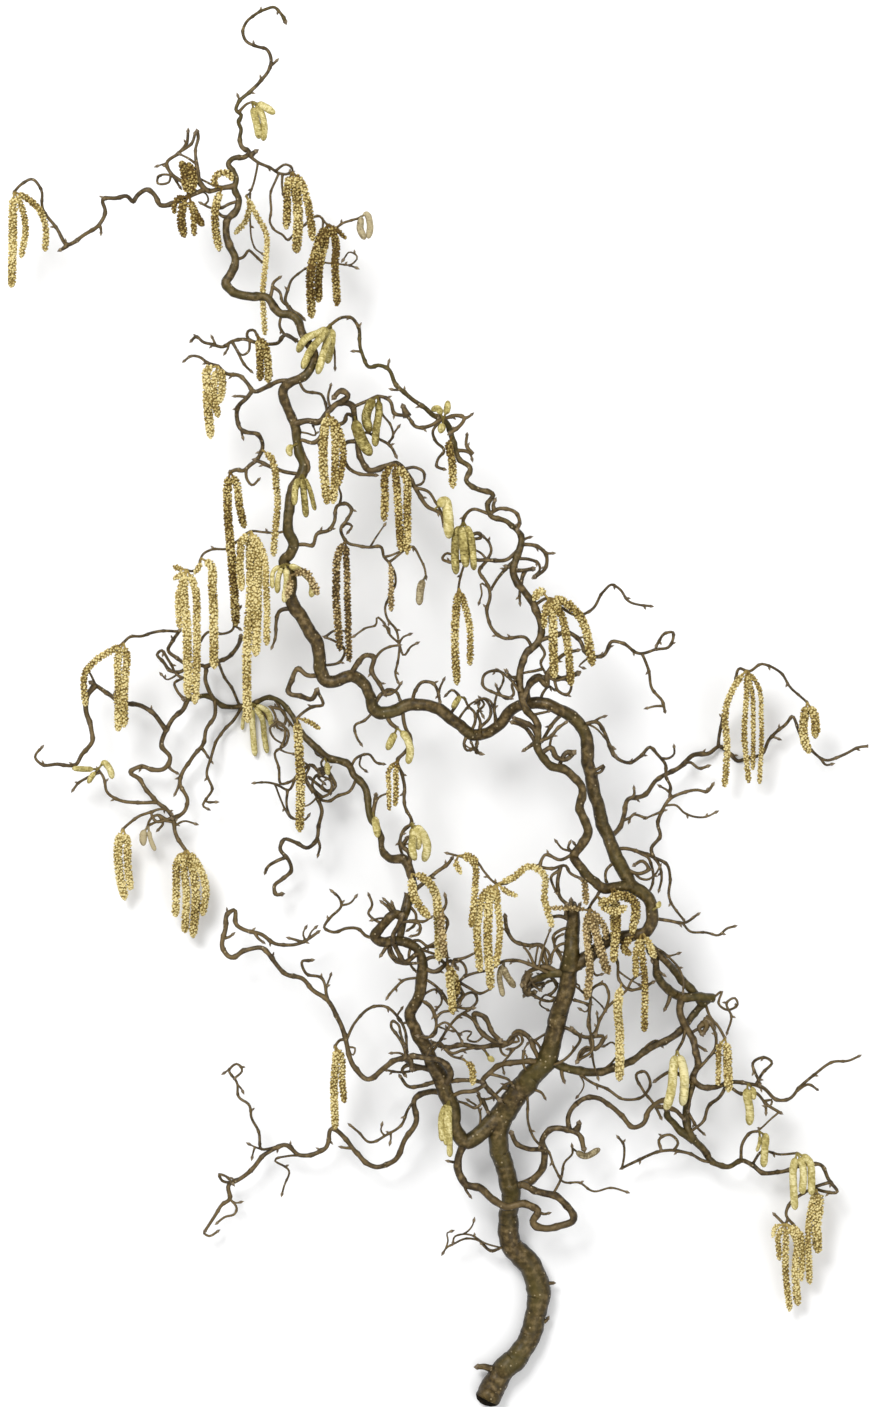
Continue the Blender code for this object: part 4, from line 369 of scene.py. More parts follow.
        (40, 6, 3, [(608, 838), (618, 829, 68, 5), (624, 815, 58), (628, 799, 48), (645, 795),
            (656, 780, 30, 4.5), (677, 769), (694, 755, 12, 5), (708, 754), (720, 746, 4, 4), (728, 752),
            (738, 761, 1.2, 4), (747, 758, 4), (762, 754, 9), (769, 739, 15, 3.5), (786, 724, 22),
            (792, 716), (799, 732, 30, 3), (811, 750), (826, 760), (845, 754), (858, 747), (868, 746)]),
        (46, 3.5, 2.5, [(719, 747), (719, 735, 14), (725, 712, 24), (735, 685, 34), (740, 668, 40),
            (748, 671), (762, 664, 44), (780, 672), (792, 689), (807, 702)]),
        (30, 3, 3, [(683, 765), (690, 762), (699, 768), (708, 766)])]),
    "top_left": ("trunk", [
        (92, 6, 4, [(236, 187), (222, 188, 96, 5), (208, 191, 98, 5), (200, 183, 99, 6), (197, 166),
            (195, 150, 96, 3), (198, 136), (197, 131)]),
        (62, 5, 3, [(203, 190), (190, 196, 92, 5), (175, 202), (160, 205, 86, 5), (154, 194),
            (148, 189, 82), (138, 195), (133, 202, 78, 4.5), (127, 196), (115, 198), (103, 200, 74, 4),
            (105, 210), (99, 225, 70), (82, 236), (67, 245, 64, 4), (57, 228), (43, 210, 68, 3),
            (41, 190), (32, 179, 72), (20, 185), (14, 192)]),
        (90, 4, 3, [(196, 190), (184, 183), (171, 173), (167, 163), (178, 153), (187, 143), (188, 131)]),
        (100, 3, 3, [(179, 154), (192, 142), (195, 133)]),
        (84, 2.5, 2.5, [(172, 172), (169, 182), (157, 183), (158, 176), (170, 175), (180, 187)])]),
}


def keyed(values):
    """Fills the gaps between the values that a route gives, evenly by its points."""
    known = [i for i, value in enumerate(values) if value is not None]
    return np.interp(range(len(values)), known, [values[i] for i in known])


def smooth(points):
    """A smooth curve through the points: cubic between each two, with the mean slope at each."""
    points = np.asarray(points, float)
    gaps = np.maximum(np.linalg.norm(np.diff(points[:, :2], axis=0), axis=1), 0.5)
    slopes = np.diff(points, axis=0) / gaps[:, None]
    weight = (gaps[1:] / (gaps[1:] + gaps[:-1]))[:, None]
    inner = slopes[:-1] * weight + slopes[1:] * (1 - weight)
    tangents = np.vstack([slopes[:1], inner, slopes[-1:]])
    found = []
    for start, end, leave, arrive, gap in zip(points, points[1:], tangents, tangents[1:], gaps):
        for t in np.linspace(0, 1, max(2, round(gap / ROUTE_STEP) + 1))[:-1]:
            found.append(
                (2 * t**3 - 3 * t**2 + 1) * start + (t**3 - 2 * t**2 + t) * gap * leave
                + (3 * t**2 - 2 * t**3) * end + (t**3 - t**2) * gap * arrive)
    return np.array(found + [points[-1]])


def placed(plan):
    """Plan x, plan y, height in mm and width to metres and radius, drawn as seen from above."""
    height = plan[:, 2] * MILLIMETRE
    nearer = PLAN_UNIT * (1 - height / SIGHT_HEIGHT)
    x = (plan[:, 0] - PLAN_MIDDLE[0]) * nearer
    y = (PLAN_MIDDLE[1] - plan[:, 1]) * nearer
    return np.column_stack([x, y, height, plan[:, 3] * PLAN_UNIT / 2])


def length_along(path):
    """The level distance along a path to each of its points, in the path's own unit."""
    return np.concatenate([[0], np.cumsum(np.linalg.norm(np.diff(path[:, :2], axis=0), axis=1))])


def over_itself(plan, along):
    """Lifts the later part of a curl clear of the earlier part that it crosses."""
    x, y, z, w = plan.T
    reach = (w[:, None] + w[None, :]) / 2 + 1
    apart = np.hypot(x[:, None] - x[None, :], y[:, None] - y[None, :])
    later = along[:, None] - along[None, :] > 2.5 * reach
    rise = np.sqrt(np.maximum(reach**2 - apart**2, 0)) * PLAN_UNIT / MILLIMETRE
    needed = np.where(later & (apart < reach), z[None, :] + rise, -np.inf).max(axis=1)
    climb = np.max(needed[None, :] - CURL_SLOPE * np.abs(along[:, None] - along[None, :]), axis=1)
    plan[:, 2] = np.maximum(z, climb)


def wood_route(route, start, sways):
    """One route as plan rows of x, y, height and width, starting on the wood that it grows on."""
    tip_height, root_width, tip_width, points = route
    heights = [point[2] if len(point) > 2 else None for point in points]
    widths = [point[3] if len(point) > 3 else None for point in points]
    places = [point[:2] for point in points]
    if start is not None:
        places[0] = start[:2]
        heights[0] = start[2]
    heights[-1] = tip_height
    widths[0] = root_width
    widths[-1] = tip_width
    plan = smooth([(x, y, z, w) for (x, y), z, w in zip(places, keyed(heights), keyed(widths))])
    along = length_along(plan)
    if sways:
        swing = np.sin(along / SWAY_LENGTH * 2 * math.pi)
        plan[:, 2] += TWIG_SWAY * np.minimum(1, along / SWAY_START) * swing
    over_itself(plan, along)
    from_foot = np.min([np.linalg.norm(plan[:, :2] - foot, axis=1) for foot in FEET], axis=0)
    least = plan[:, 3] * PLAN_UNIT / 2 / MILLIMETRE + FLOOR_GAP / MILLIMETRE
    plan[:, 2] = np.where(from_foot > FOOT_REACH, np.maximum(plan[:, 2], least), plan[:, 2])
    return plan


def nearest_in(plans, place):
    """The route and the sample in it that lie nearest to a place in plan."""
    gaps = [np.linalg.norm(plan[:, :2] - place, axis=1) for plan in plans]
    best = min(range(len(plans)), key=lambda i: gaps[i].min())
    return best, int(np.argmin(gaps[best]))


def grow_wood():
    """Every route of the branch in plan: each limb first, then its twigs."""
    limbs = {}
    plans = []
    for name, (parent, own) in LIMBS.items():
        home = list(limbs.get(parent, []))
        for i, route in enumerate(own):
            start = None
            if home:
                nearest, sample = nearest_in([plans[k] for k in home], route[3][0][:2])
                start = plans[home[nearest]][sample]
            plans.append(wood_route(route, start, sways=i > 0))
            home = [len(plans) - 1] if i == 0 else home + [len(plans) - 1]
        limbs[name] = home
    return plans


def along_path(rows):
    """At each point of a path, the unit vectors onward, to its level side, and up across both."""
    onward = np.gradient(rows[:, :3], axis=0)
    onward /= np.maximum(np.linalg.norm(onward, axis=1), 1e-12)[:, None]
    side = np.cross(onward, (0.0, 0.0, 1.0))
    side /= np.maximum(np.linalg.norm(side, axis=1), 1e-9)[:, None]
    return onward, side, np.cross(side, onward)


def tube(rows, around, radius=None):
    """Rings about a path: centre + r (cos a * side + sin a * up), side level and up across the path."""
    _, side, up = along_path(rows)
    angle = np.linspace(0, 2 * np.pi, around, endpoint=False)
    if radius is None:
        radius = np.repeat(rows[:, 3:4], around, axis=1)
    ring = np.cos(angle)[None, :, None] * side[:, None] + np.sin(angle)[None, :, None] * up[:, None]
    return rows[:, None, :3] + radius[:, :, None] * ring


def skin_faces(count, around, offset):
    """Quads between neighbouring rings, and fans from the two end points to the end rings."""
    i, k = np.meshgrid(np.arange(count - 1), np.arange(around), indexing="ij")
    after = (k + 1) % around
    quads = np.stack([i * around + k, (i + 1) * around + k, (i + 1) * around + after, i * around + after], -1)
    k = np.arange(around)
    after = (k + 1) % around
    first = np.stack([np.full(around, count * around), k, after], -1)
    top = (count - 1) * around
    last = np.stack([np.full(around, count * around + 1), top + after, top + k], -1)
    return quads.reshape(-1, 4) + offset, np.vstack([first, last]) + offset


class Skin:
    """Collects tubes, with a value for each point, into one mesh."""

    def __init__(self):
        self.points, self.quads, self.fans, self.values, self.size = [], [], [], [], 0

    def add(self, rows, around, radius=None, **values):
        rings = tube(rows, around, radius)
        ends = np.array([rows[0, :3], rows[-1, :3]])
        quads, fans = skin_faces(len(rows), around, self.size)
        self.points.append(np.vstack([rings.reshape(-1, 3), ends]))
        self.quads.append(quads)
        self.fans.append(fans)
        flat = {}
        for name, value in values.items():
            full = np.broadcast_to(np.asarray(value, float), rings.shape[:2])
            flat[name] = np.concatenate([full.ravel(), [full[0].max(), full[-1].max()]])
        self.values.append(flat)
        self.size += len(self.points[-1])

    def add_copies(self, shape, faces, places, axes, **values):
        points = places[:, None] + np.einsum("vk,nkx->nvx", shape, axes)
        copies = np.arange(len(places))[:, None, None] * len(shape)
        self.points.append(points.reshape(-1, 3))
        self.fans.append((faces[None] + copies + self.size).reshape(-1, 3))
        self.values.append({k: np.broadcast_to(v, points.shape[:2]).ravel() for k, v in values.items()})
        self.size += len(self.points[-1])

    def piece(self, name, finish):
        points = np.clip(np.vstack(self.points), *CAD_BOX)
        quads = np.vstack(self.quads)
        fans = np.vstack(self.fans)
        mesh = bpy.data.meshes.new(name)
        mesh.vertices.add(len(points))
        mesh.vertices.foreach_set("co", points.astype(np.float32).ravel())
        corners = np.concatenate([quads.ravel(), fans.ravel()])
        mesh.loops.add(len(corners))
        mesh.loops.foreach_set("vertex_index", corners.astype(np.int32))
        sizes = np.concatenate([np.full(len(quads), 4), np.full(len(fans), 3)])
        mesh.polygons.add(len(sizes))
        mesh.polygons.foreach_set("loop_start", (np.cumsum(sizes) - sizes).astype(np.int32))
        mesh.polygons.foreach_set("loop_total", sizes.astype(np.int32))
        mesh.update(calc_edges=True)
        for key in self.values[0]:
            layer = mesh.attributes.new(key, "FLOAT", "POINT")
            layer.data.foreach_set("value", np.concatenate([v[key] for v in self.values]).astype(np.float32))
        mesh.shade_smooth()
        mesh.materials.append(finish)
        made = bpy.data.objects.new(name, mesh)
        bpy.context.scene.collection.objects.link(made)
        return made


def lumps(along, around, seed, pitch):
    """Uneven bark: three waves along and around the wood, of unlike pitch, added together."""
    angle = np.linspace(0, 2 * np.pi, around, endpoint=False)[None, :]
    s = along[:, None] / pitch
    return (np.sin(s * 1.0 + seed + 2 * angle) + 0.7 * np.sin(s * 2.3 - angle + 1.7 * seed)
            + 0.5 * np.sin(s * 4.1 + 3 * angle + 0.6 * seed)) / 2.2


def wood_rows(plan, step, seed):
    """A route sampled evenly, kinked a little to one side and the other at its buds, and its buds."""
    along = length_along(plan)
    draws = np.random.default_rng(seed)
    buds = BUD_START + np.cumsum(draws.uniform(*BUD_GAPS, int(along[-1] / 8) + 1))
    buds = buds[buds < along[-1] - 3]
    stops = np.unique(np.concatenate([np.linspace(0, along[-1], max(4, int(along[-1] / step) + 1)), buds]))
    rows = np.column_stack([np.interp(stops, along, plan[:, k]) for k in range(4)])
    heading = np.gradient(rows[:, :2], axis=0)
    heading /= np.maximum(np.linalg.norm(heading, axis=1), 1e-9)[:, None]
    across = np.column_stack([-heading[:, 1], heading[:, 0]])
    sides = np.resize([1.0, -1.0], len(buds)) * draws.uniform(0.5, 1.0, len(buds))
    kink = np.interp(stops, np.concatenate([[0, 4], buds, along[-1:]]), np.concatenate([[0, 0], sides, [0]]))
    rows[:, :2] += across * (kink * np.clip(0.16 * rows[:, 3], 0.45, 0.9))[:, None]
    if len(buds):
        near = np.abs(stops[:, None] - buds[None, :]) / np.clip(0.45 * rows[:, 3:4], 0.9, 3)
        swell = 0.28 * np.clip(1.5 - 0.13 * rows[:, 3], 0, 1)
        rows[:, 3] *= 1 + swell * np.exp(-(near.min(axis=1) ** 2))
    return rows, stops, buds, sides


class Finish:
    """A node material on object coordinates and point attributes, and the steps its colour takes."""

    def __init__(self, name, roughness, specular=0.5):
        self.made = bpy.data.materials.new(name)
        self.made.use_nodes = True
        self.nodes, self.links = self.made.node_tree.nodes, self.made.node_tree.links
        self.shader = self.nodes["Principled BSDF"]
        self.shader.inputs["Roughness"].default_value = roughness
        self.shader.inputs["Specular IOR Level"].default_value = specular
        self.where = self.nodes.new("ShaderNodeTexCoord").outputs["Object"]

    def node(self, kind, **inputs):
        """A node of that kind. Its inputs are named with _ for a space and take a value or a link."""
        node = self.nodes.new("ShaderNode" + kind)
        for key, value in inputs.items():
            self.feed(node.inputs[key.replace("_", " ")], value)
        return node

    def feed(self, socket, value):
        if isinstance(value, (tuple, float)):
            socket.default_value = value
        else:
            self.links.new(value, socket)

    def noise(self, scale, detail=2.0):
        return self.node("TexNoise", Vector=self.where, Scale=scale, Detail=detail).outputs["Fac"]

    def value_of(self, attribute):
        node = self.node("Attribute")
        node.attribute_name = attribute
        return node.outputs["Fac"]

    def ranged(self, value, low, high, least, most):
        limits = {"From_Min": low, "From_Max": high, "To_Min": least, "To_Max": most}
        return self.node("MapRange", Value=value, **limits).outputs["Result"]

    def mixed(self, share, first, second, blend="MIX"):
        node = self.nodes.new("ShaderNodeMix")
        node.data_type = "RGBA"
        node.blend_type = blend
        for key, value in (("Factor", share), ("A", first), ("B", second)):
            self.feed(node.inputs[key], value)
        return node.outputs["Result"]

    def math(self, operation, *values):
        node = self.node("Math")
        node.operation = operation
        for socket, value in zip(node.inputs, values):
            self.feed(socket, value)
        return node.outputs["Value"]

    def ramp(self, value, low, high, between=()):
        """A colour ramp from low to high over those between, each a position and a colour."""
        node = self.node("ValToRGB", Fac=value)
        stops = node.color_ramp.elements
        for stop, (position, colour) in zip(stops, (low, high)):
            stop.position = position
            stop.color = (*colour, 1)
        for position, colour in between:
            stops.new(position).color = (*colour, 1)
        return node.outputs["Color"]

    def coloured(self, colour):
        self.feed(self.shader.inputs["Base Color"], colour)
        return self.made


def bark_finish(name, dark, middle, light, moss):
    """Bark: patches from dark to pale, moss-green ones, small pale lenticels, and painted shade: darker on
    the underside and sides, lighter along the top.
    """
    bark = Finish(name, 0.42, 0.22)
    patch = bark.noise(230.0, 5.0)
    tone = bark.ramp(patch, (0.27, dark), (0.75, light), [(0.50, middle)])
    mossy = bark.mixed(bark.ranged(bark.noise(20.0, 3.0), 0.44, 0.66, 0.0, 0.65), tone, (*moss, 1))
    # Painted shade from how far each point faces up: the underside and sides darkened, the top lightened.
    shade = bark.ranged(bark.value_of("upper"), 0.05, 1.0, 0.12, 1.12)
    shaded = bark.mixed(1.0, mossy, shade, "MULTIPLY")
    specks = bark.node("TexVoronoi", Vector=bark.where, Scale=260.0)
    part = bark.node("SeparateColor", Color=specks.outputs["Color"])
    near = bark.ranged(specks.outputs["Distance"], 0.22, 0.14, 0.0, 1.0)
    chosen = bark.ranged(part.outputs["Red"], 0.70, 0.71, 0.0, 0.6)
    bump = bark.node("Bump", Strength=0.6, Distance=0.0006, Height=patch)
    bark.links.new(bump.outputs["Normal"], bark.shader.inputs["Normal"])
    return bark.coloured(bark.mixed(bark.math("MULTIPLY", near, chosen), shaded, LENTICEL))


def bud_rows(place, heading, length, thickness):
    """An egg-shaped bud in metres: its thickness follows the sine of the way along, fuller below."""
    way = np.linspace(0, 1, 7)
    rows = np.empty((7, 4))
    rows[:, :3] = place + heading * (way * length * PLAN_UNIT)[:, None]
    rows[:, 3] = thickness / 2 * PLAN_UNIT * np.maximum(np.sin(np.pi * way**0.7), [0.6, 0, 0, 0, 0, 0, 0.12])
    return rows


def bud_finish():
    """Bud scales: dark brown with paler blotches."""
    bud = Finish("hazel_buds", 0.5)
    dark, pale = (0.35, (0.060, 0.035, 0.016)), (0.65, (0.230, 0.170, 0.085))
    return bud.coloured(bud.ramp(bud.noise(500.0), dark, pale))


# The finest twigs, spurs and curls of the same wood: a width and the plan points of each. They
# grow from the wood that is nearest to their first point and keep close to its height.
CURLS = [
    (6, [(493, 1367), (484, 1367), (477, 1367)]), (4, [(548, 1283), (551, 1283), (554, 1283)]),
    (4, [(542, 1322), (546, 1321), (548, 1318)]), (5, [(250, 156), (253, 153), (256, 151)]),
    (2.5, [(240, 102), (239, 99), (238, 96)]), (3, [(270, 66), (274, 63), (277, 60)]),
    (3, [(541, 1214), (545, 1214), (549, 1213)]), (3, [(462, 1185), (466, 1190), (470, 1196)]),
    (3, [(459, 1162), (453, 1162), (448, 1161)]), (6, [(576, 1131), (578, 1127), (579, 1123)]),
    (1.8, [(465, 1231), (470, 1229), (473, 1224), (474, 1220)]),
    (1.8, [(446, 1248), (448, 1240), (447, 1233), (452, 1231)]),
    (1.8, [(499, 1249), (492, 1252), (485, 1248), (481, 1243)]),
    (3, [(656, 969), (660, 972), (664, 975)]), (4, [(668, 997), (668, 1003), (665, 1009)]),
    (3, [(765, 1103), (766, 1108), (766, 1113)]),
    (2.5, [(766, 1099), (772, 1100), (770, 1106), (765, 1106)]),
    (2, [(779, 1112), (770, 1120), (762, 1128), (758, 1131)]),
    (2.5, [(714, 1052), (717, 1054), (721, 1055)]),
    (3, [(697, 1030), (703, 1026), (709, 1023), (713, 1026)]),
    (3, [(699, 1020), (706, 1017), (711, 1021)]),
    (1.6, [(575, 1076), (584, 1085), (581, 1092), (577, 1097)]),
    (4, [(560, 1069), (562, 1075), (564, 1081)]), (3, [(540, 1088), (542, 1093), (545, 1098)]),
    (2, [(571, 1000), (583, 1002), (589, 1007), (586, 1012), (580, 1009)]),
    (2, [(577, 980), (581, 990), (590, 995), (599, 1003), (605, 1010)]),
    (2, [(619, 970), (628, 978), (640, 985)]),
    (2.5, [(652, 944), (662, 951), (672, 960), (681, 973), (684, 984), (683, 992)]),
    (2, [(653, 948), (651, 955), (652, 961)]), (2, [(668, 957), (673, 955), (679, 953)]),
    (2.2, [(537, 970), (541, 955), (545, 942), (550, 930)]),
    (3, [(533, 972), (532, 960), (528, 952), (524, 947)]),
    (3, [(521, 1082), (510, 1083), (500, 1090), (490, 1098), (480, 1098), (477, 1090)]),
    (4.5, [(482, 1098), (485, 1105), (488, 1112)]),
    (2.5, [(514, 1046), (519, 1041), (515, 1035), (510, 1037)]),
    (3.5, [(462, 1012), (470, 1017), (478, 1026)]), (3, [(465, 978), (474, 973), (484, 971)]),
    (3, [(458, 982), (470, 988), (480, 993), (490, 989)]), (3, [(458, 962), (466, 957), (476, 952)]),
    (2, [(483, 1037), (475, 1042), (467, 1039), (472, 1032), (465, 1031), (460, 1035), (462, 1041)]),
    (2, [(523, 1067), (527, 1059), (524, 1050), (528, 1043)]),
    (2, [(231, 1203), (236, 1203), (241, 1202)]), (3, [(351, 1149), (346, 1148), (341, 1147)]),
    (2, [(262, 1149), (255, 1147), (249, 1144)]), (2, [(254, 1148), (253, 1153), (252, 1158)]),
    (2, [(239, 1084), (241, 1088), (243, 1092)]), (2, [(230, 1069), (227, 1071), (224, 1073)]),
    (2, [(390, 1133), (391, 1138), (390, 1143)]), (2, [(384, 1136), (381, 1131), (382, 1124)]),
    (3, [(225, 938), (229, 937), (233, 934)]), (3, [(302, 941), (296, 940), (289, 938)]),
    (3, [(254, 933), (258, 938), (263, 942)]), (2, [(348, 1046), (355, 1048), (353, 1055), (349, 1052)]),
    (2, [(304, 940), (303, 933), (306, 927)]), (2, [(308, 938), (311, 932), (316, 927)]),
    (2.5, [(390, 919), (381, 918), (372, 920)]), (3.5, [(393, 912), (388, 907), (382, 902)]),
    (3.5, [(396, 914), (394, 909), (392, 903)]), (4, [(388, 942), (385, 949), (381, 955)]),
    (3, [(412, 943), (409, 955), (411, 965), (417, 972)]),
    (2.5, [(418, 1000), (427, 992), (436, 989), (441, 995), (441, 1004), (436, 1010)]),
    (2.5, [(411, 1020), (402, 1023), (397, 1017), (402, 1008)]),
    (2.5, [(407, 1056), (400, 1053), (391, 1053)]),
    (3, [(434, 1070), (420, 1069), (405, 1072), (386, 1070)]),
    (4, [(436, 1081), (420, 1086), (408, 1086), (400, 1076)]),
    (6, [(408, 1058), (411, 1063), (412, 1069)]), (3, [(573, 852), (577, 848), (574, 843)]),
    (3, [(572, 852), (568, 847), (570, 842)]), (2.5, [(571, 851), (563, 849), (556, 841)]),
    (2.5, [(361, 352), (358, 351), (353, 351)]), (2.5, [(388, 368), (388, 365), (389, 361)]),
    (2.5, [(401, 389), (396, 390), (391, 389)]), (3, [(558, 869), (551, 877), (553, 885), (557, 893)]),
    (3, [(554, 677), (559, 691), (567, 694), (571, 685), (565, 679)]),
    (2.5, [(519, 680), (512, 677), (506, 671)]),
    (2.5, [(497, 724), (494, 708), (497, 694), (502, 684), (503, 675), (498, 670)]),
    (2.5, [(493, 727), (494, 712), (489, 700), (482, 698), (478, 705), (483, 716)]),
    (3, [(457, 706), (458, 695), (452, 690), (446, 695)]),
    (1.6, [(467, 733), (465, 744), (472, 748), (478, 745), (475, 753), (482, 754)]),
    (3, [(540, 643), (545, 654), (541, 663), (545, 672)]),
    (3, [(526, 571), (521, 583), (520, 593), (520, 603)]),
    (2, [(489, 588), (481, 583), (482, 594), (479, 603)]), (3, [(543, 550), (547, 553), (553, 553)]),
    (3, [(518, 558), (530, 559), (539, 563), (540, 570), (534, 576)]),
    (3, [(519, 541), (524, 539), (530, 537)]), (2, [(469, 551), (470, 540), (475, 534), (482, 535)]),
    (3, [(487, 559), (491, 551), (489, 543), (484, 537)]), (2.5, [(486, 559), (481, 553), (474, 549)]),
    (2.5, [(469, 452), (471, 455), (472, 459)]), (2.5, [(664, 706), (656, 706), (647, 708)]),
    (2, [(591, 658), (583, 662), (579, 666), (584, 668)]),
    (3.5, [(589, 770), (597, 769), (604, 765), (602, 771), (595, 774)]),
    (2.5, [(594, 721), (599, 718), (605, 716)]), (2.5, [(662, 759), (669, 758), (674, 754), (674, 746)]),
    (3, [(624, 821), (629, 818), (634, 814)]), (2.5, [(770, 735), (774, 737), (779, 739)]),
    (2.5, [(821, 758), (826, 765), (832, 764)]), (2.5, [(672, 798), (668, 791), (660, 786)]),
    (2.5, [(661, 812), (653, 815), (646, 818)]), (2.5, [(392, 632), (389, 628), (385, 626)]),
    (2.5, [(438, 692), (441, 685), (444, 679)]), (2.5, [(340, 504), (341, 495), (338, 486)]),
    (3, [(341, 526), (347, 523), (352, 526), (348, 532)]), (2, [(370, 547), (376, 537), (385, 524)]),
    (2.5, [(325, 631), (335, 630), (346, 631)]),
    (2.5, [(402, 550), (414, 547), (420, 558), (425, 570), (426, 577)]),
    (2.5, [(384, 557), (394, 554), (402, 550)]),
    (3, [(404, 470), (415, 467), (424, 472), (423, 482), (414, 486)]),
    (3, [(416, 487), (428, 491), (436, 502), (442, 513)]),
    (4, [(335, 426), (344, 421), (347, 414), (354, 417)]),
    (4, [(357, 440), (346, 443), (343, 456), (350, 469), (363, 474), (376, 475)]),
    (2, [(299, 431), (308, 433), (315, 435), (313, 425)]), (2, [(319, 442), (321, 453), (320, 468)]),
    (2.5, [(333, 343), (335, 356), (335, 368)]), (3, [(464, 418), (468, 417), (472, 414)]),
    (6, [(407, 415), (405, 411), (403, 406)]), (2, [(393, 434), (396, 430), (399, 426)]),
    (3, [(232, 341), (238, 352), (246, 366), (251, 371)]),
    (2.5, [(249, 341), (248, 352), (242, 355), (237, 350)]), (2.5, [(215, 344), (214, 341), (212, 337)]),
    (2.5, [(229, 343), (228, 348), (225, 353)]), (3.5, [(270, 299), (272, 290), (273, 283), (280, 277)]),
    (3, [(273, 286), (280, 292), (283, 302), (288, 306)]),
    (3.5, [(288, 305), (293, 311), (299, 314), (304, 319)]),
    (3, [(246, 470), (247, 479), (252, 485), (259, 479)]), (3, [(246, 397), (241, 396), (235, 396)]),
    (2.5, [(241, 430), (242, 434), (243, 438)]), (2.5, [(235, 624), (237, 627), (240, 629)]),
    (2, [(180, 672), (172, 678), (167, 680), (161, 674)]), (2.5, [(303, 822), (306, 819), (309, 815)]),
    (2, [(274, 786), (280, 797), (286, 810), (291, 818), (298, 820)]),
    (2.2, [(277, 745), (283, 751), (294, 754)]), (3.5, [(286, 858), (275, 862), (268, 867), (265, 873)]),
    (3, [(319, 838), (320, 846), (318, 855)]), (2.5, [(374, 803), (379, 797), (388, 793)]),
    (3, [(168, 766), (172, 770), (177, 773)]), (2.5, [(96, 685), (91, 675), (87, 669)]),
    (3, [(184, 700), (177, 691), (174, 683), (183, 678)]), (3, [(203, 748), (205, 752), (208, 757)]),
    (3, [(180, 783), (178, 788), (175, 794)]), (2.5, [(207, 799), (203, 806), (208, 809)]),
    (2.5, [(228, 188), (213, 185), (205, 181), (199, 178)]), (2.5, [(197, 163), (188, 158), (180, 154)]),
    (2, [(168, 163), (163, 164), (157, 166)]),
    (3, [(238, 201), (229, 204), (222, 208), (211, 208), (201, 203)]),
    (2, [(203, 206), (208, 201), (207, 195), (202, 191)]), (3.5, [(227, 216), (222, 216), (217, 211)]),
    (3, [(99, 225), (101, 228), (101, 233)]), (4, [(67, 245), (64, 248), (60, 250)]),
    (2.5, [(277, 169), (286, 164), (292, 167), (293, 173)]), (2.5, [(283, 175), (282, 184), (283, 194)]),
    (2, [(250, 193), (250, 210), (250, 222), (252, 240), (256, 249), (263, 254)]),
    (2, [(322, 220), (322, 235), (318, 250), (322, 261), (335, 263), (352, 264), (357, 257),
        (349, 252), (343, 260)]), (2, [(348, 264), (352, 266), (357, 268)]),
    (2, [(316, 798), (310, 804), (299, 808)]), (3, [(320, 768), (318, 776), (324, 783)]),
    (3, [(316, 778), (324, 774), (330, 768)]), (2, [(362, 757), (360, 766), (366, 771)]),
    (2.2, [(340, 905), (350, 903), (356, 896)]), (2, [(586, 720), (596, 728), (608, 742), (616, 756)]),
    (2.5, [(503, 1084), (512, 1092), (522, 1097)]),
    (2.5, [(470, 1135), (480, 1122), (478, 1108), (468, 1100)]),
    (2.5, [(430, 1025), (445, 1022), (455, 1030), (462, 1042)]),
    (2.5, [(540, 1005), (552, 1000), (560, 992), (566, 985)]),
    (2, [(556, 1000), (545, 995), (540, 1004), (548, 1010)]),
    (2.2, [(600, 1072), (612, 1062), (618, 1050), (612, 1042), (604, 1046)]),
    (2, [(640, 1055), (648, 1044), (657, 1040), (662, 1046)]),
    (3, [(541, 946), (547, 950), (550, 956), (548, 963), (552, 968)]),
    (2.2, [(538, 948), (536, 957), (535, 966)]), (4, [(567, 922), (560, 916), (551, 917)]),
    (3, [(568, 926), (559, 931), (554, 935), (554, 943), (558, 950), (562, 957)]),
    (5, [(571, 914), (571, 906), (571, 900)]), (4, [(576, 915), (578, 908), (580, 904)]),
    (4, [(568, 916), (566, 910), (566, 905)]), (2, [(577, 978), (579, 985), (580, 990), (586, 995)]),
    (3, [(574, 1000), (582, 1002), (590, 1004)]),
    (3, [(549, 996), (554, 991), (557, 985), (554, 981), (546, 983), (541, 989)]),
    (3, [(537, 994), (541, 999), (548, 1001)]), (3, [(560, 961), (570, 962), (580, 967)]),
    (2.5, [(578, 946), (574, 951), (568, 958)]), (3, [(546, 968), (542, 960), (543, 952)]),
    (2.5, [(589, 962), (593, 957), (601, 957)]), (2.2, [(592, 969), (597, 975), (602, 974)]),
    (3, [(405, 926), (415, 920), (424, 921), (431, 917)]),
    (3, [(412, 932), (419, 940), (428, 946), (439, 947)]),
    (3, [(414, 946), (424, 950), (436, 954), (447, 957)]),
    (4, [(424, 963), (430, 957), (438, 957), (444, 962), (451, 968)]),
    (4.5, [(426, 966), (435, 971), (443, 966), (450, 961), (457, 968)]),
    (3, [(392, 947), (395, 957), (402, 962), (413, 963)]),
    (3, [(441, 991), (446, 1000), (452, 1005), (459, 1000)]),
    (2.5, [(448, 1001), (455, 991), (462, 994), (457, 1002)]),
    (3, [(425, 1001), (432, 1009), (436, 1020), (436, 1031), (432, 1037), (423, 1036)]),
    (3, [(436, 1017), (442, 1012), (451, 1010), (460, 1006)]),
    (2, [(437, 1025), (445, 1029), (453, 1031)]),
    (3, [(407, 1056), (402, 1043), (396, 1034), (391, 1026), (392, 1021), (398, 1024),
        (401, 1034), (405, 1046)]),
    (3, [(426, 1056), (432, 1046), (440, 1042), (446, 1050), (452, 1056), (463, 1059)]),
    (3, [(444, 1050), (452, 1053), (461, 1050), (471, 1048), (482, 1048), (488, 1055)]),
    (3, [(507, 1046), (512, 1036), (520, 1034), (523, 1041), (516, 1048), (508, 1049)]),
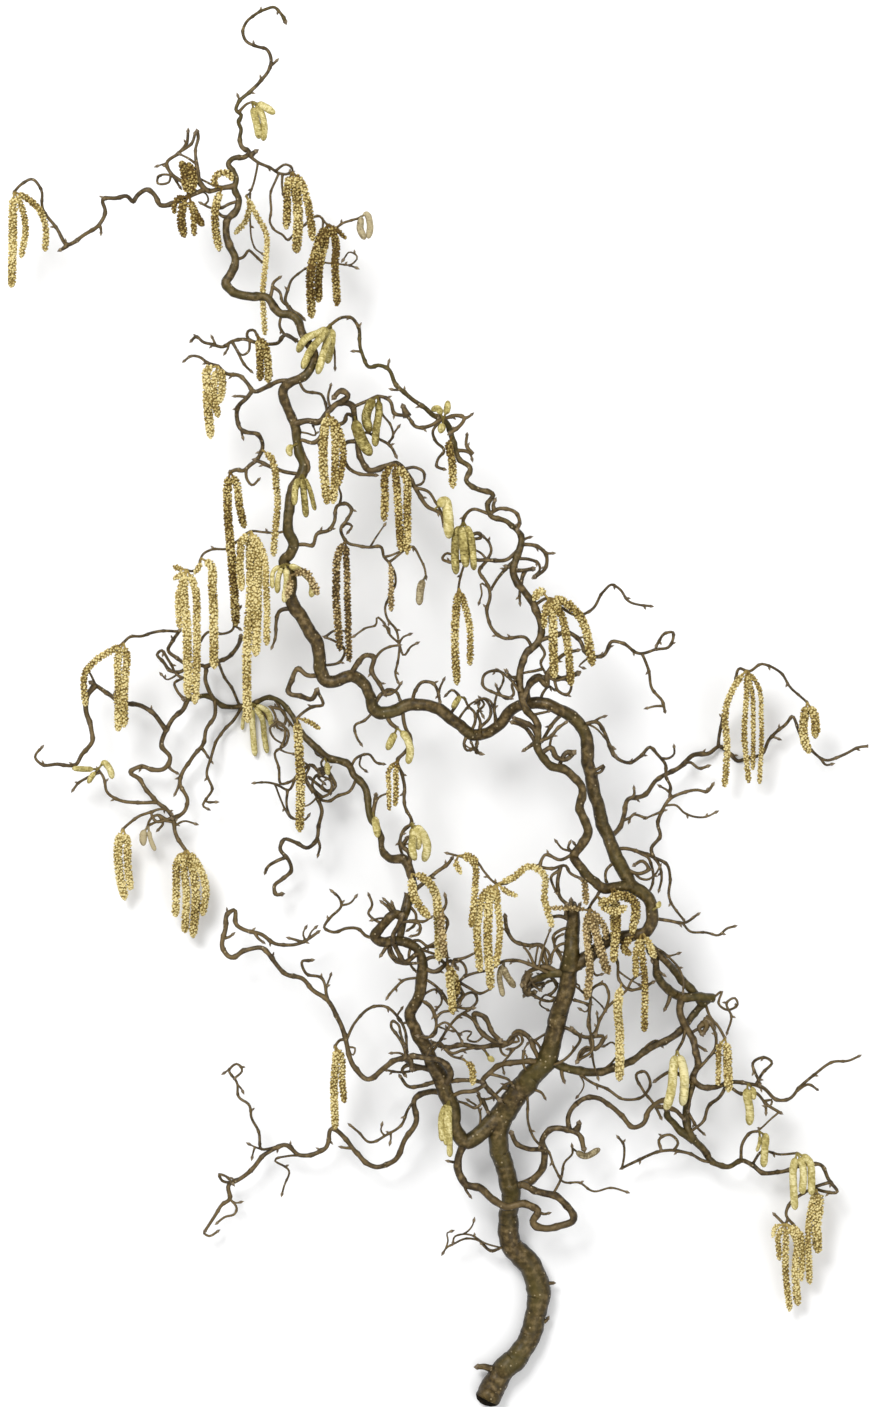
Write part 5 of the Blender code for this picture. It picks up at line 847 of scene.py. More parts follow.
    (3, [(529, 1038), (537, 1043), (541, 1050), (538, 1058), (543, 1063)]),
    (2.5, [(513, 1047), (508, 1057), (503, 1064), (504, 1073)]),
    (3, [(525, 1050), (523, 1061), (526, 1070), (534, 1075)]),
    (2.5, [(499, 1045), (502, 1053), (508, 1056), (511, 1050)]),
    (2.5, [(534, 1042), (543, 1035), (551, 1030), (561, 1027)]),
    (5, [(430, 1070), (420, 1067), (411, 1064), (406, 1060)]),
    (4, [(412, 1064), (405, 1066), (402, 1070), (405, 1075)]),
    (3, [(476, 1095), (481, 1104), (475, 1108), (465, 1103), (457, 1101)]),
    (3, [(494, 1080), (502, 1077), (508, 1079), (513, 1086)]),
    (3, [(502, 1085), (510, 1090), (520, 1093)]),
    (7, [(689, 1143), (680, 1131), (673, 1122), (668, 1116), (667, 1110)]),
    (4, [(691, 1083), (680, 1075), (670, 1072), (662, 1076), (655, 1081)]),
    (6, [(702, 1019), (707, 1026), (703, 1033)]), (5, [(706, 1018), (711, 1021), (714, 1028)]),
    (5, [(703, 1024), (699, 1027), (702, 1034)]),
    (2.5, [(590, 1037), (592, 1050), (594, 1064), (598, 1078)]),
    (2.5, [(591, 1012), (588, 1024), (592, 1034), (598, 1025), (597, 1013)]),
    (2.2, [(576, 1063), (580, 1051), (587, 1046), (595, 1050), (602, 1044), (606, 1037)]),
    (3, [(689, 1110), (693, 1120), (698, 1128), (704, 1134)]),
    (3, [(685, 1088), (690, 1100), (688, 1111)]),
    (5, [(529, 702), (527, 691), (529, 682), (536, 676), (543, 677)]),
    (3, [(539, 671), (534, 671), (527, 672), (520, 674)]),
    (4, [(546, 673), (553, 664), (562, 655), (570, 652), (578, 650)]),
    (3, [(547, 676), (556, 680), (565, 677), (578, 672)]),
    (3, [(541, 700), (543, 692), (549, 686), (555, 690)]),
    (3, [(519, 677), (514, 677), (509, 676), (507, 671)]),
    (3, [(517, 676), (512, 685), (514, 694), (507, 699), (500, 694), (496, 685)]),
    (3, [(470, 731), (475, 721), (474, 712), (468, 706), (465, 699)]),
    (3, [(478, 733), (480, 722), (477, 712), (484, 704), (480, 698)]),
    (3, [(484, 729), (490, 716), (489, 704), (483, 698), (476, 703)]),
    (2.5, [(458, 722), (463, 712), (470, 704), (477, 700)]),
    (3, [(468, 737), (464, 744), (467, 750), (473, 748), (471, 742)]),
    (2.5, [(474, 737), (478, 744), (474, 750), (481, 753)]), (2.5, [(481, 737), (476, 745), (479, 753)]),
    (4, [(497, 513), (493, 506), (495, 500)]), (4, [(514, 568), (510, 567), (506, 566)]),
    (4, [(516, 570), (524, 570), (533, 568)]),
    (4, [(463, 546), (470, 536), (480, 533), (482, 537), (473, 539)]),
    (3, [(460, 558), (448, 562), (442, 559), (446, 553), (454, 555)]),
    (5, [(408, 866), (409, 853), (402, 846), (407, 838)]),
    (3, [(403, 850), (400, 842), (401, 834), (405, 827), (412, 824)]),
    (4, [(381, 702), (383, 692), (390, 689), (397, 692), (400, 700)]),
    (3, [(386, 702), (390, 694), (396, 690), (401, 683)]),
    (5, [(539, 736), (533, 728), (524, 722), (514, 718)]), (4, [(536, 742), (530, 746), (524, 750)]),
    (4, [(564, 711), (556, 720), (549, 730), (542, 741)]), (3, [(533, 714), (540, 713), (549, 711)]),
    (3, [(557, 759), (550, 748), (551, 738)]), (5, [(577, 759), (568, 752), (562, 758), (560, 764)]),
    (4, [(411, 893), (424, 882), (436, 872), (448, 864), (452, 858)]),
    (9, [(408, 894), (406, 908), (403, 922), (400, 937)]),
    (3, [(411, 905), (416, 914), (414, 926), (408, 930)]),
    (3, [(409, 918), (420, 924), (419, 934), (411, 936)]), (3, [(397, 914), (390, 905), (384, 899)]),
    (5, [(558, 972), (546, 967), (535, 969), (525, 976), (522, 985)]),
    (4, [(547, 986), (536, 985), (528, 989), (524, 996)]),
    (6, [(531, 974), (525, 984), (527, 993), (535, 992)]), (4, [(541, 974), (533, 980), (526, 988)]),
    (3, [(529, 972), (532, 982), (540, 990)]), (3, [(566, 941), (558, 946), (553, 953), (551, 962)]),
    (3.5, [(560, 985), (552, 978), (545, 975), (536, 977)]),
    (4, [(314, 792), (306, 781), (303, 771), (310, 765), (319, 772)]),
    (3, [(321, 796), (312, 786), (315, 776), (323, 772)]),
    (4, [(317, 771), (325, 768), (331, 776), (335, 786), (328, 791), (318, 785), (310, 778)]),
    (3, [(305, 774), (300, 768), (297, 776)]), (3, [(274, 703), (283, 712), (290, 722), (297, 731)]),
    (3, [(281, 748), (285, 736), (283, 725), (275, 721)]),
    (2.5, [(276, 722), (270, 728), (274, 738), (283, 744)]), (2.5, [(325, 757), (321, 763), (324, 770)]),
    (3, [(632, 857), (640, 853), (648, 857), (652, 866), (653, 880), (650, 890), (643, 897)]),
    (3, [(654, 858), (660, 866), (662, 878), (659, 890)]),
    (3, [(612, 862), (606, 872), (607, 882), (613, 888)]),
    (2.5, [(634, 872), (640, 878), (648, 879), (655, 874), (660, 866)]),
    (3, [(627, 800), (634, 795), (634, 788)]), (2.5, [(640, 817), (632, 815), (629, 822)]),
    (3, [(166, 818), (158, 815), (150, 820), (147, 828)]), (3, [(160, 816), (163, 824), (158, 830)]),
    (2.5, [(270, 712), (276, 717), (276, 725), (282, 730)]),
    (2.5, [(320, 741), (314, 746), (316, 754), (322, 757)]),
]


def grow_curl(plans, width, points):
    """A curl in plan, rooted in the nearest wood and dropping a little below where it starts."""
    route, sample = nearest_in(plans, points[0])
    start = plans[route][sample]
    drop = 2.0 + 2.0 * math.sin(points[-1][0])
    return wood_route((start[2] - drop, width * 1.15, width * 0.8, points), start, sways=True)


LIMB_BARK = bark_finish(
    "limb_bark", (0.017, 0.0105, 0.0035), (0.072, 0.047, 0.015), (0.205, 0.142, 0.062),
        (0.074, 0.059, 0.011))
TWIG_BARK = bark_finish(
    "twig_bark", (0.024, 0.015, 0.006), (0.074, 0.049, 0.019), (0.215, 0.150, 0.066), (0.160, 0.108, 0.042))
plans = grow_wood()
coarse = len(plans)
for width, points in CURLS:
    plans.append(grow_curl(plans, width, points))
thick, thin, buds = Skin(), Skin(), Skin()
wood_lines = []
for number, plan in enumerate(plans):
    stout = plan[:, 3].max() > STOUT_WIDTH
    rows, along, nodes_at, sides = wood_rows(plan, STOUT_STEP if stout else THIN_STEP, number)
    root = np.clip(1 - along / (1.6 * rows[0, 3]), 0, 1) if number else 0
    rows[:, 3] *= 1 + 0.35 * root**2
    width = rows[:, 3].copy()
    rows = placed(rows)
    wood_lines.append(rows)
    around = STOUT_AROUND if stout else THIN_AROUND
    relief = 1 + 0.07 * lumps(along, around, number, 6.0)
    # How far each point of a ring faces up, which the bark finish turns into painted shade below and painted
    # light on top.
    upper = np.sin(np.linspace(0, 2 * np.pi, around, endpoint=False))
    (thick if stout else thin).add(rows, around, rows[:, 3:4] * relief, upper=upper)
    heading = np.gradient(rows[:, :3], axis=0)
    heading /= np.linalg.norm(heading, axis=1)[:, None]
    across = np.cross((0, 0, 1), heading)
    for stop, side in zip(nodes_at, sides):
        i = int(np.argmin(np.abs(along - stop)))
        if width[i] < BUD_WIDTH and abs(side) > 0.80:
            outward = 0.75 * heading[i] - np.sign(side) * across[i] + (0, 0, 0.3 * math.sin(stop))
            outward /= np.linalg.norm(outward)
            start = rows[i, :3] + outward * rows[i, 3] * 0.5
            buds.add(bud_rows(start, outward, 0.5 * width[i] + 2.6, 2.4), BUD_AROUND)
    if plan[-1, 3] < BUD_WIDTH:
        buds.add(bud_rows(rows[-2, :3], heading[-1], 6.0, max(3.2, 1.25 * width[-1])), BUD_AROUND)
trunk_wood = thick.piece("trunk_and_limbs", LIMB_BARK)
twig_wood = thin.piece("twigs", TWIG_BARK)
bud_scales = buds.piece("buds", bud_finish())
for made in (trunk_wood, twig_wood, bud_scales):
    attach(made, "root")
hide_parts("branch")

# The cut end of the trunk: sawn off flat across the grain, pale sapwood under the bark and darker
# towards the heart. It stands a hair proud of the end of the trunk's own skin.
CUT_RINGS = 9
CUT_AROUND = 24
CUT_PROUD = 0.0003
CUT_INSIDE_BARK = 0.93


def cut_end(rows):
    """A disc across the path's first point, and its rings' steps from the bark to the heart."""
    onward, side, up = (v[0] for v in along_path(rows))
    steps = np.linspace(1, 0.05, CUT_RINGS)
    reach = rows[0, 3] * CUT_INSIDE_BARK * steps
    angle = np.linspace(0, 2 * np.pi, CUT_AROUND, endpoint=False)
    disc = np.cos(angle)[None, :, None] * side + np.sin(angle)[None, :, None] * up
    return rows[0, :3] - onward * CUT_PROUD + reach[:, None, None] * disc, steps


def cut_finish():
    """Year rings: brown where the ring attribute is low, pale where it is high."""
    cut = Finish("sawn_wood", 0.8)
    brown, pale = (0.0, (0.16, 0.095, 0.040)), (1.0, (0.47, 0.34, 0.185))
    return cut.coloured(cut.ramp(cut.value_of("ring"), brown, pale))


disc_points, steps = cut_end(wood_lines[0])
sawn = bpy.data.meshes.new("sawn_end")
ring, turn = np.meshgrid(np.arange(CUT_RINGS - 1) * CUT_AROUND, np.arange(CUT_AROUND), indexing="ij")
after = (turn + 1) % CUT_AROUND
faces = np.stack([ring + turn, ring + after, ring + CUT_AROUND + after, ring + CUT_AROUND + turn], -1)
heart = [(CUT_RINGS - 1) * CUT_AROUND + k for k in range(CUT_AROUND)]
disc_points = np.clip(disc_points.reshape(-1, 3), *CAD_BOX)
sawn.from_pydata(disc_points.tolist(), [], faces.reshape(-1, 4).tolist() + [heart])
year_rings = 0.35 + 0.5 * steps + 0.14 * np.resize([1, -1], CUT_RINGS)
layer = sawn.attributes.new("ring", "FLOAT", "POINT")
layer.data.foreach_set("value", np.repeat(year_rings, CUT_AROUND).astype(np.float32))
sawn.materials.append(cut_finish())
sawn_end = bpy.data.objects.new("sawn_end", sawn)
bpy.context.scene.collection.objects.link(sawn_end)
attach(sawn_end, "root")

# The catkins: long loose tails of small flowers, open and shedding, or still closed and firm, or
# dried brown. Those of a bunch hang from one stalk on the twig and lie over the wood around it.
SEAT_GAP = 0.0003
CATKIN_DROOP = 0.22
CLIMB_LIMIT = 0.03
CLIMB_SLOPE = 0.9
STALK_WIDTH = 2.2
STALK_LENGTH = 5.0
CATKIN_STEP = 0.8
CATKIN_AROUND = 12
CORE_AROUND = 8
NEARBY = 0.02
GOLDEN_ANGLE = 2.39996

# Each bunch of catkins: how its catkins look, where its stalk stands on the wood, whether it lies
# over the wood (1) or under it (-1), and each catkin's width and plan points.
BUNCHES = {
    "b_low_stem": ("closed", (447, 1101), 1, [(7, [(443, 1112), (442, 1142)]),
        (6.5, [(449, 1112), (450, 1158)]), (6, [(447, 1112), (446, 1146)])]),
    "b_left_limb": ("open", (335, 1046), 1, [(8, [(336, 1055), (334, 1080), (335, 1130)]),
        (7, [(341, 1056), (342, 1080), (344, 1103)])]),
    "b_stem_fork": ("open", (413, 874), 1, [(9, [(412, 886), (415, 898), (429, 916)]),
        (9, [(425, 878), (434, 890), (438, 920), (439, 960)])]),
    "b_web": ("open", (447, 967), 1, [(8, [(449, 975), (451, 992), (453, 1014)])]),
    "b_arch_left": ("open", (459, 856), 1, [(6, [(468, 855), (478, 861)]), (6, [(456, 862), (461, 874)]),
        (7, [(473, 862), (475, 890), (471, 927)])]),
    "b_arch": ("open", (497, 884), 1, [(8, [(486, 892), (478, 920), (480, 972)]),
        (9, [(491, 895), (488, 925), (491, 990)]), (7, [(497, 895), (500, 930), (496, 968)]),
        (6, [(506, 891), (517, 896)]),
        (7, [(512, 878), (530, 866), (543, 873), (545, 900), (553, 928)])]),
    "b_left_web": ("brown", (504, 961), 1, [(6, [(504, 968), (515, 988)]),
        (5, [(500, 972), (503, 997)])]),
    "b_brown": ("brown", (588, 911), 1, [(5, [(575, 908), (550, 908)]),
        (8, [(588, 925), (590, 968), (587, 1000)]), (8, [(594, 920), (599, 948), (607, 973)])]),
    "b_elbow": ("open", (614, 894), 1, [(8, [(613, 905), (615, 935), (614, 962)]),
        (8, [(622, 897), (634, 900), (637, 914), (634, 927)])]),
    "b_elbow_low": ("open", (642, 936), 1, [(7, [(642, 948), (645, 980), (645, 1033)]),
        (7, [(637, 948), (636, 977)]), (7, [(649, 945), (656, 958)])]),
    "b_long": ("open", (619, 984), 1, [(9, [(618, 998), (620, 1035), (620, 1082)])]),
    "b_right_pair": ("closed", (677, 1051), 1, [(8, [(674, 1062), (671, 1085), (665, 1108)]),
        (8, [(682, 1064), (684, 1085), (682, 1105)])]),
    "b_right_loop": ("open", (725, 1037), 1, [(9, [(727, 1048), (728, 1070), (729, 1092)]),
        (6, [(719, 1047), (719, 1065), (718, 1085)])]),
    "b_right_mid": ("closed", (748, 1083), 1, [(9, [(747, 1092), (750, 1110), (750, 1126)]),
        (6, [(753, 1090), (754, 1100)])]),
    "b_low_small": ("closed", (758, 1131), 1, [(8, [(765, 1136), (765, 1148), (764, 1168)]),
        (4, [(760, 1141), (757, 1152)])]),
    "b_low_right": ("closed", (797, 1153), 1, [(8, [(794, 1165), (794, 1190), (796, 1211)]),
        (8, [(802, 1163), (803, 1195)]), (8, [(809, 1161), (812, 1180), (812, 1196)])]),
    "b_low_end": ("open", (816, 1189), 1, [(7, [(812, 1205), (809, 1230), (811, 1286)]),
        (10, [(819, 1200), (817, 1225), (819, 1254)])]),
    "b_low_fork": ("open", (785, 1224), 1, [(5, [(776, 1227), (773, 1238)]),
        (6, [(780, 1232), (780, 1261)]), (7, [(786, 1235), (786, 1268), (791, 1313)]),
        (8, [(795, 1235), (796, 1275), (799, 1307)]), (6, [(800, 1233), (803, 1255), (802, 1282)])]),
    "b_reach": ("open", (745, 672), 1, [(7, [(736, 684), (727, 705), (728, 750), (726, 787)]),
        (6, [(747, 690), (745, 730), (750, 783)]), (5, [(752, 690), (754, 730), (754, 770)]),
        (5, [(758, 685), (762, 720), (761, 784)])]),
    "b_reach_tip": ("open", (807, 702), 1, [(9, [(814, 714), (816, 738)]),
        (9, [(805, 714), (804, 735), (810, 753)])]),
    "b_mid": ("closed", (397, 729), 1, [(8, [(393, 737), (387, 750)]),
        (8, [(406, 737), (410, 748), (408, 764)])]),
    "b_mid_small": ("open", (398, 760), 1, [(5, [(390, 768), (389, 790), (389, 810)]),
        (6, [(396, 770), (396, 788), (395, 806)])]),
    "b_mid_low": ("closed", (411, 823), 1, [(8, [(413, 835), (412, 845), (415, 860)]),
        (9, [(422, 833), (427, 845), (424, 862)]), (7, [(418, 835), (418, 850)])]),
    "b_left_mid": ("open", (297, 718), 1, [(9, [(298, 735), (300, 780), (299, 832)]),
        (5, [(308, 721), (320, 729)])]),
    "b_foot": ("closed", (252, 704), 1, [(6.5, [(252, 715), (253, 735), (255, 756)]),
        (6, [(262, 718), (264, 735), (267, 753)]), (6, [(268, 712), (272, 727)]),
        (4, [(245, 712), (242, 730)])]),
    "b_left_curl": ("closed", (98, 769), 1, [(6, [(86, 769), (73, 768)]),
        (7, [(104, 763), (110, 770), (112, 779)]), (6, [(93, 775), (88, 783)])]),
    "b_low_left": ("open", (123, 829), 1, [(9, [(119, 840), (118, 865), (124, 900)]),
        (8, [(127, 842), (127, 860), (130, 890)])]),
    "b_left_head": ("open", (186, 850), 1, [(8, [(178, 860), (176, 885), (175, 917)]),
        (8, [(184, 862), (186, 895), (184, 933)]), (9, [(190, 860), (195, 885), (192, 938)]),
        (8, [(196, 862), (205, 885), (202, 916)])]),
    "b_left_arch": ("open", (123, 643), 1, [(7, [(110, 651), (97, 659), (86, 670), (84, 706)]),
        (8, [(119, 653), (118, 685), (117, 731)]), (8, [(126, 653), (124, 685), (123, 727)])]),
    "b_long_left": ("open", (231, 472), 1, [(9, [(228, 482), (228, 510), (232, 550), (235, 625)]),
        (8, [(236, 482), (239, 505), (244, 527)])]),
    "b_curtain": ("open", (250, 531), 1, [(8, [(243, 540), (240, 560), (241, 590)]),
        (9, [(250, 543), (250, 590), (246, 650), (246, 722)]), (9, [(256, 545), (257, 590), (255, 655)]),
        (7, [(262, 550), (266, 590), (266, 645)])]),
    "b_thin": ("open", (263, 449), 1, [(7, [(271, 458), (277, 490), (274, 556)])]),
    "b_elbow_small": ("closed", (284, 564), 1, [(5, [(274, 570), (272, 588)]),
        (6, [(279, 574), (277, 593)]), (7, [(287, 578), (284, 602)]),
        (7, [(301, 571), (312, 583), (311, 597)])]),
    "b_trunk_trio": ("closed", (301, 474), 1, [(7, [(297, 483), (294, 505)]),
        (7, [(303, 485), (306, 517)]), (5, [(308, 485), (315, 510)])]),
    "b_brown_pair": ("brown", (343, 541), 1, [(8, [(339, 552), (336, 585), (340, 650)]),
        (7, [(346, 552), (347, 590), (349, 661)])]),
    "b_curl_trio": ("open", (394, 465), 1, [(8, [(386, 473), (385, 495), (384, 520)]),
        (8, [(396, 478), (399, 520), (401, 550)]), (8, [(404, 474), (407, 510), (407, 553)])]),
    "b_brown_thin": ("brown", (389, 562), 1, [(6, [(391, 572), (391, 590), (391, 611)])]),
    "b_pale": ("closed", (437, 502), 1, [(9, [(445, 501), (448, 515), (449, 538)])]),
    "b_green": ("closed", (463, 523), 1, [(7, [(457, 532), (455, 550), (456, 574)]),
        (8, [(463, 534), (466, 567)]), (6, [(469, 532), (474, 570)])]),
    "b_neck": ("open", (450, 436), 1, [(8, [(449, 445), (452, 460), (453, 487)])]),
    "b_hanging": ("open", (459, 589), 1, [(8, [(457, 602), (455, 630), (457, 684)]),
        (7, [(464, 602), (469, 622), (470, 665)])]),
    "b_shoulder": ("open", (548, 599), 1, [(9, [(540, 591), (534, 600)]),
        (9, [(552, 612), (553, 640), (554, 677)]), (7, [(545, 610), (544, 627)]),
        (9, [(565, 602), (579, 615), (593, 665)]), (8, [(560, 612), (567, 640), (571, 685)])]),
    "b_top": ("closed", (252, 102), 1, [(8, [(254, 112), (257, 125), (259, 138)]),
        (7, [(260, 110), (264, 124), (263, 140)]), (8, [(262, 105), (275, 113)])]),
    "b_top_right": ("open", (292, 172), 1, [(8, [(288, 183), (287, 205), (286, 228)]),
        (10, [(295, 185), (298, 215), (296, 251)]), (8, [(301, 182), (307, 200), (313, 240)])]),
    "b_top_far": ("open", (328, 225), 1, [(9, [(322, 235), (312, 265), (311, 316)]),
        (8, [(326, 238), (319, 270), (318, 301)]), (8, [(334, 235), (335, 270), (337, 304)]),
        (5, [(337, 230), (346, 238)])]),
    "b_top_dry": ("brown", (359, 218), 1, [(7.5, [(361, 216), (360, 228), (365, 239)]),
        (7, [(366, 214), (370, 226), (368, 238)])]),
    "b_top_mid": ("open", (246, 195), 1, [(6, [(250, 205), (246, 220), (234, 233)]),
        (6, [(256, 214), (265, 230), (266, 262), (264, 290), (265, 335)])]),
    "b_top_trunk": ("open", (222, 188), 1, [(7, [(214, 183), (216, 175), (226, 172), (233, 180)]),
        (8, [(217, 200), (215, 225), (219, 249)])]),
    "b_far_tip": ("open", (14, 192), 1, [(9, [(13, 205), (12, 240), (10, 286)]),
        (7, [(20, 203), (25, 225), (20, 256)]), (7, [(27, 198), (38, 208), (44, 220), (44, 250)])]),
    "b_top_left": ("open", (187, 193), 1, [(9, [(186, 183), (184, 170), (181, 160)]),
        (9, [(193, 184), (192, 172), (188, 163)]), (6, [(178, 198), (174, 206), (174, 213)]),
        (9, [(184, 203), (181, 220), (184, 236)]), (8, [(191, 203), (196, 215), (203, 225)]),
        (6, [(192, 207), (194, 235)])]),
    "b_ring": ("open", (257, 335), 1, [(8, [(259, 345), (260, 360), (260, 380)]),
        (8, [(264, 344), (268, 365), (268, 382)])]),
    "b_upper_left": ("open", (216, 366), 1, [(9, [(209, 368), (207, 390), (210, 437)]),
        (8, [(215, 377), (214, 400), (218, 416)]), (8, [(221, 372), (222, 388), (218, 403)])]),
    "b_five": ("closed", (330, 325), 1, [(8, [(322, 332), (305, 341), (298, 353)]),
        (8, [(323, 336), (310, 354), (303, 370)]), (8, [(328, 338), (323, 358), (318, 375)]),
        (8, [(332, 337), (330, 350), (327, 363)])]),
    "b_curl_green": ("closed", (378, 397), 1, [(10, [(372, 402), (366, 418), (370, 432)]),
        (8, [(379, 408), (376, 430), (375, 446)])]),
    "b_curl_fat": ("closed", (355, 416), 1, [(10, [(357, 428), (363, 442), (371, 455)])]),
    "b_curtain_mid": ("open", (326, 413), 1, [(9, [(325, 426), (323, 460), (327, 503)]),
        (8, [(333, 425), (335, 460), (333, 502)]), (7, [(339, 430), (343, 455), (338, 485)])]),
    "b_pale_head": ("closed", (443, 419), 1, [(7, [(437, 408), (431, 410)]),
        (7, [(447, 409), (448, 400)]), (9, [(442, 426), (440, 433)])]),
    "b_far_left": ("open", (201, 558), 1, [(9, [(209, 563), (212, 590), (213, 668)]),
        (6, [(199, 567), (194, 573)])]),
    "b_left_tall": ("open", (187, 570), 1, [(9, [(184, 582), (186, 620), (187, 697)]),
        (8, [(193, 582), (196, 630), (194, 703)]), (7, [(179, 592), (179, 628)]),
        (6, [(181, 569), (173, 566)]), (6, [(180, 575), (173, 579)])]),
}


# Short catkins, spurs of them and husks that sit between the bunches, written in the same way.
SMALL_BUNCHES = {
    "s_left_bend": ("closed", (371, 812), 1, [(8, [(375, 819), (378, 837)])]),
    "s_neck": ("closed", (297, 443), 1, [(7, [(289, 449), (291, 456)])]),
    "s_left_tip": ("brown", (148, 826), 1, [(8, [(144, 832), (143, 846)]),
        (5, [(150, 838), (155, 851)])]),
    "s_knot": ("closed", (325, 757), 1, [(6, [(327, 764), (328, 775)])]),
    "s_behind": ("brown", (583, 866), -1, [(7, [(583, 872), (585, 888), (586, 904)])]),
    "s_web_dry": ("brown", (588, 909), 1, [(8, [(592, 920), (598, 940), (604, 958), (609, 974)]),
        (7, [(586, 925), (588, 950), (590, 972), (588, 996)]),
        (7, [(597, 916), (604, 926), (607, 940)])]),
    "s_web": ("open", (598, 897), 1, [
        (8, [(606, 901), (618, 895), (630, 897), (635, 906), (634, 920), (632, 934)]),
        (8, [(606, 908), (616, 911), (626, 906)])]),
    "s_web_long": ("open", (612, 893), 1, [(8, [(616, 905), (617, 925), (615, 945), (613, 962)])]),
    "s_elbow": ("open", (634, 934), 1, [(8, [(628, 940), (624, 948), (631, 955)])]),
    "s_elbow_end": ("open", (646, 938), 1, [(7, [(650, 945), (653, 957)])]),
    "s_elbow_out": ("closed", (655, 910), 1, [(6, [(658, 906), (660, 901)])]),
    "s_shoulder": ("brown", (300, 572), 1, [(8, [(306, 572), (312, 582), (318, 594)]),
        (8, [(290, 583), (287, 598)])]),
    "s_web_left": ("open", (447, 962), 1, [(9, [(452, 972), (456, 985), (455, 998)])]),
    "s_fork": ("brown", (438, 905), 1, [(8, [(441, 920), (443, 940), (444, 957)])]),
    "s_curl": ("brown", (424, 576), 1, [(8, [(422, 583), (419, 605)])]),
    "s_right": ("brown", (575, 1148), 1, [(7, [(585, 1155), (600, 1149)])]),
    "s_mid": ("open", (470, 1056), 1, [(7, [(471, 1066), (473, 1085)])]),
    "s_mid_closed": ("closed", (483, 1053), 1, [(7, [(488, 1056), (494, 1061)])]),
    "s_top": ("closed", (470, 688), 1, [(6, [(462, 697), (452, 708)])]),
}


def clearance_height(rows, solids, side, ceiling):
    """How high each point must lie to pass over (or under) the solids, -inf where it is free."""
    needed = np.full(len(rows), -np.inf)
    box = (rows[:, :2].min(axis=0) - NEARBY, rows[:, :2].max(axis=0) + NEARBY)
    solids = solids[np.all((solids[:, :2] > box[0]) & (solids[:, :2] < box[1]), axis=1)]
    if not len(solids):
        return needed
    reach = solids[None, :, 3] + rows[:, 3:4] + SEAT_GAP
    apart = np.hypot(solids[None, :, 0] - rows[:, 0:1], solids[None, :, 1] - rows[:, 1:2])
    rise = solids[None, :, 2] * side + np.sqrt(np.maximum(reach**2 - apart**2, 0))
    rise = np.where((apart < reach) & (rise < ceiling), rise, -np.inf)
    return rise.max(axis=1)


def settle(rows, solids, side):
    """Lifts a catkin, in a smooth climb, clear of everything that it crosses."""
    settled = rows.copy()
    along = length_along(rows)
    base = settled[:, 2] * side - CATKIN_DROOP * along
    needed = clearance_height(rows, solids, side, base[0] + CLIMB_LIMIT)
    needed[along < 2 * PLAN_UNIT] = -np.inf
    climb = np.max(needed[None, :] - CLIMB_SLOPE * np.abs(along[:, None] - along[None, :]), axis=1)
    settled[:, 2] = side * np.maximum(base, climb)
    settled[:, 2] = np.maximum(settled[:, 2], rows[:, 3] + FLOOR_GAP)
    return settled


def catkin_rows(seat, seat_height, order, width, points):
    """A catkin in metres: a thin stalk that swells to the catkin's width and rounds off at its tip."""
    first = (seat[0] + 0.23 * order, seat[1] - 0.17 * order, seat_height, width)
    plan = smooth([first] + [(x, y, seat_height, width) for x, y in points])
    along = length_along(plan)
    stops = np.linspace(0, along[-1], int(along[-1] / CATKIN_STEP) + 2)
    rows = np.column_stack([np.interp(stops, along, plan[:, k]) for k in range(4)])
    swell = np.clip((stops - STALK_LENGTH) / (0.6 * width), 0, 1)
    left = np.clip((along[-1] - stops) / (0.9 * width), 0, 1)
    body = np.sqrt(1 - (1 - swell) ** 2) * np.sqrt(1 - (1 - left) ** 2)
    rows[:, 3] = np.maximum(width * body, np.where(stops < STALK_LENGTH + 1, STALK_WIDTH, 0.6))
    return placed(rows), stops, body


def scales(stops, around, pitch, across, seed):
    """Scales in staggered rows: sqrt(sin) along each row times |cos| across it, from 0 to 1."""
    row = np.floor(stops / pitch)
    u = (stops / pitch - row)[:, None]
    angle = np.linspace(0, 1, around, endpoint=False)[None, :]
    v = angle * across + 0.5 * (row[:, None] % 2) + 0.3 * np.sin(row[:, None] * 5.3 + seed)
    uneven = 0.66 + 0.34 * np.sin(row[:, None] * 12.9 + np.floor(v) * 4.7 + seed)
    return np.sqrt(np.abs(np.sin(np.pi * u))) * np.abs(np.cos(np.pi * v)) * uneven


def ball():
    """Twelve corners (0, 1, golden ratio) with its turns and mirrors, and the twenty faces on them."""
    golden = (1 + 5**0.5) / 2
    corners = np.array([np.roll((0, a, b * golden), k) for k in range(3) for a in (1, -1) for b in (1, -1)])
    span = np.linalg.norm(corners[:, None] - corners[None], axis=2)
    faces = [(a, b, c) for a in range(12) for b in range(a) for c in range(b)
             if max(span[a, b], span[b, c], span[a, c]) < 2.1]
    faces = [f if np.linalg.det(corners[list(f)]) > 0 else f[::-1] for f in faces]
    return corners / np.linalg.norm(corners[0]), np.array(faces)


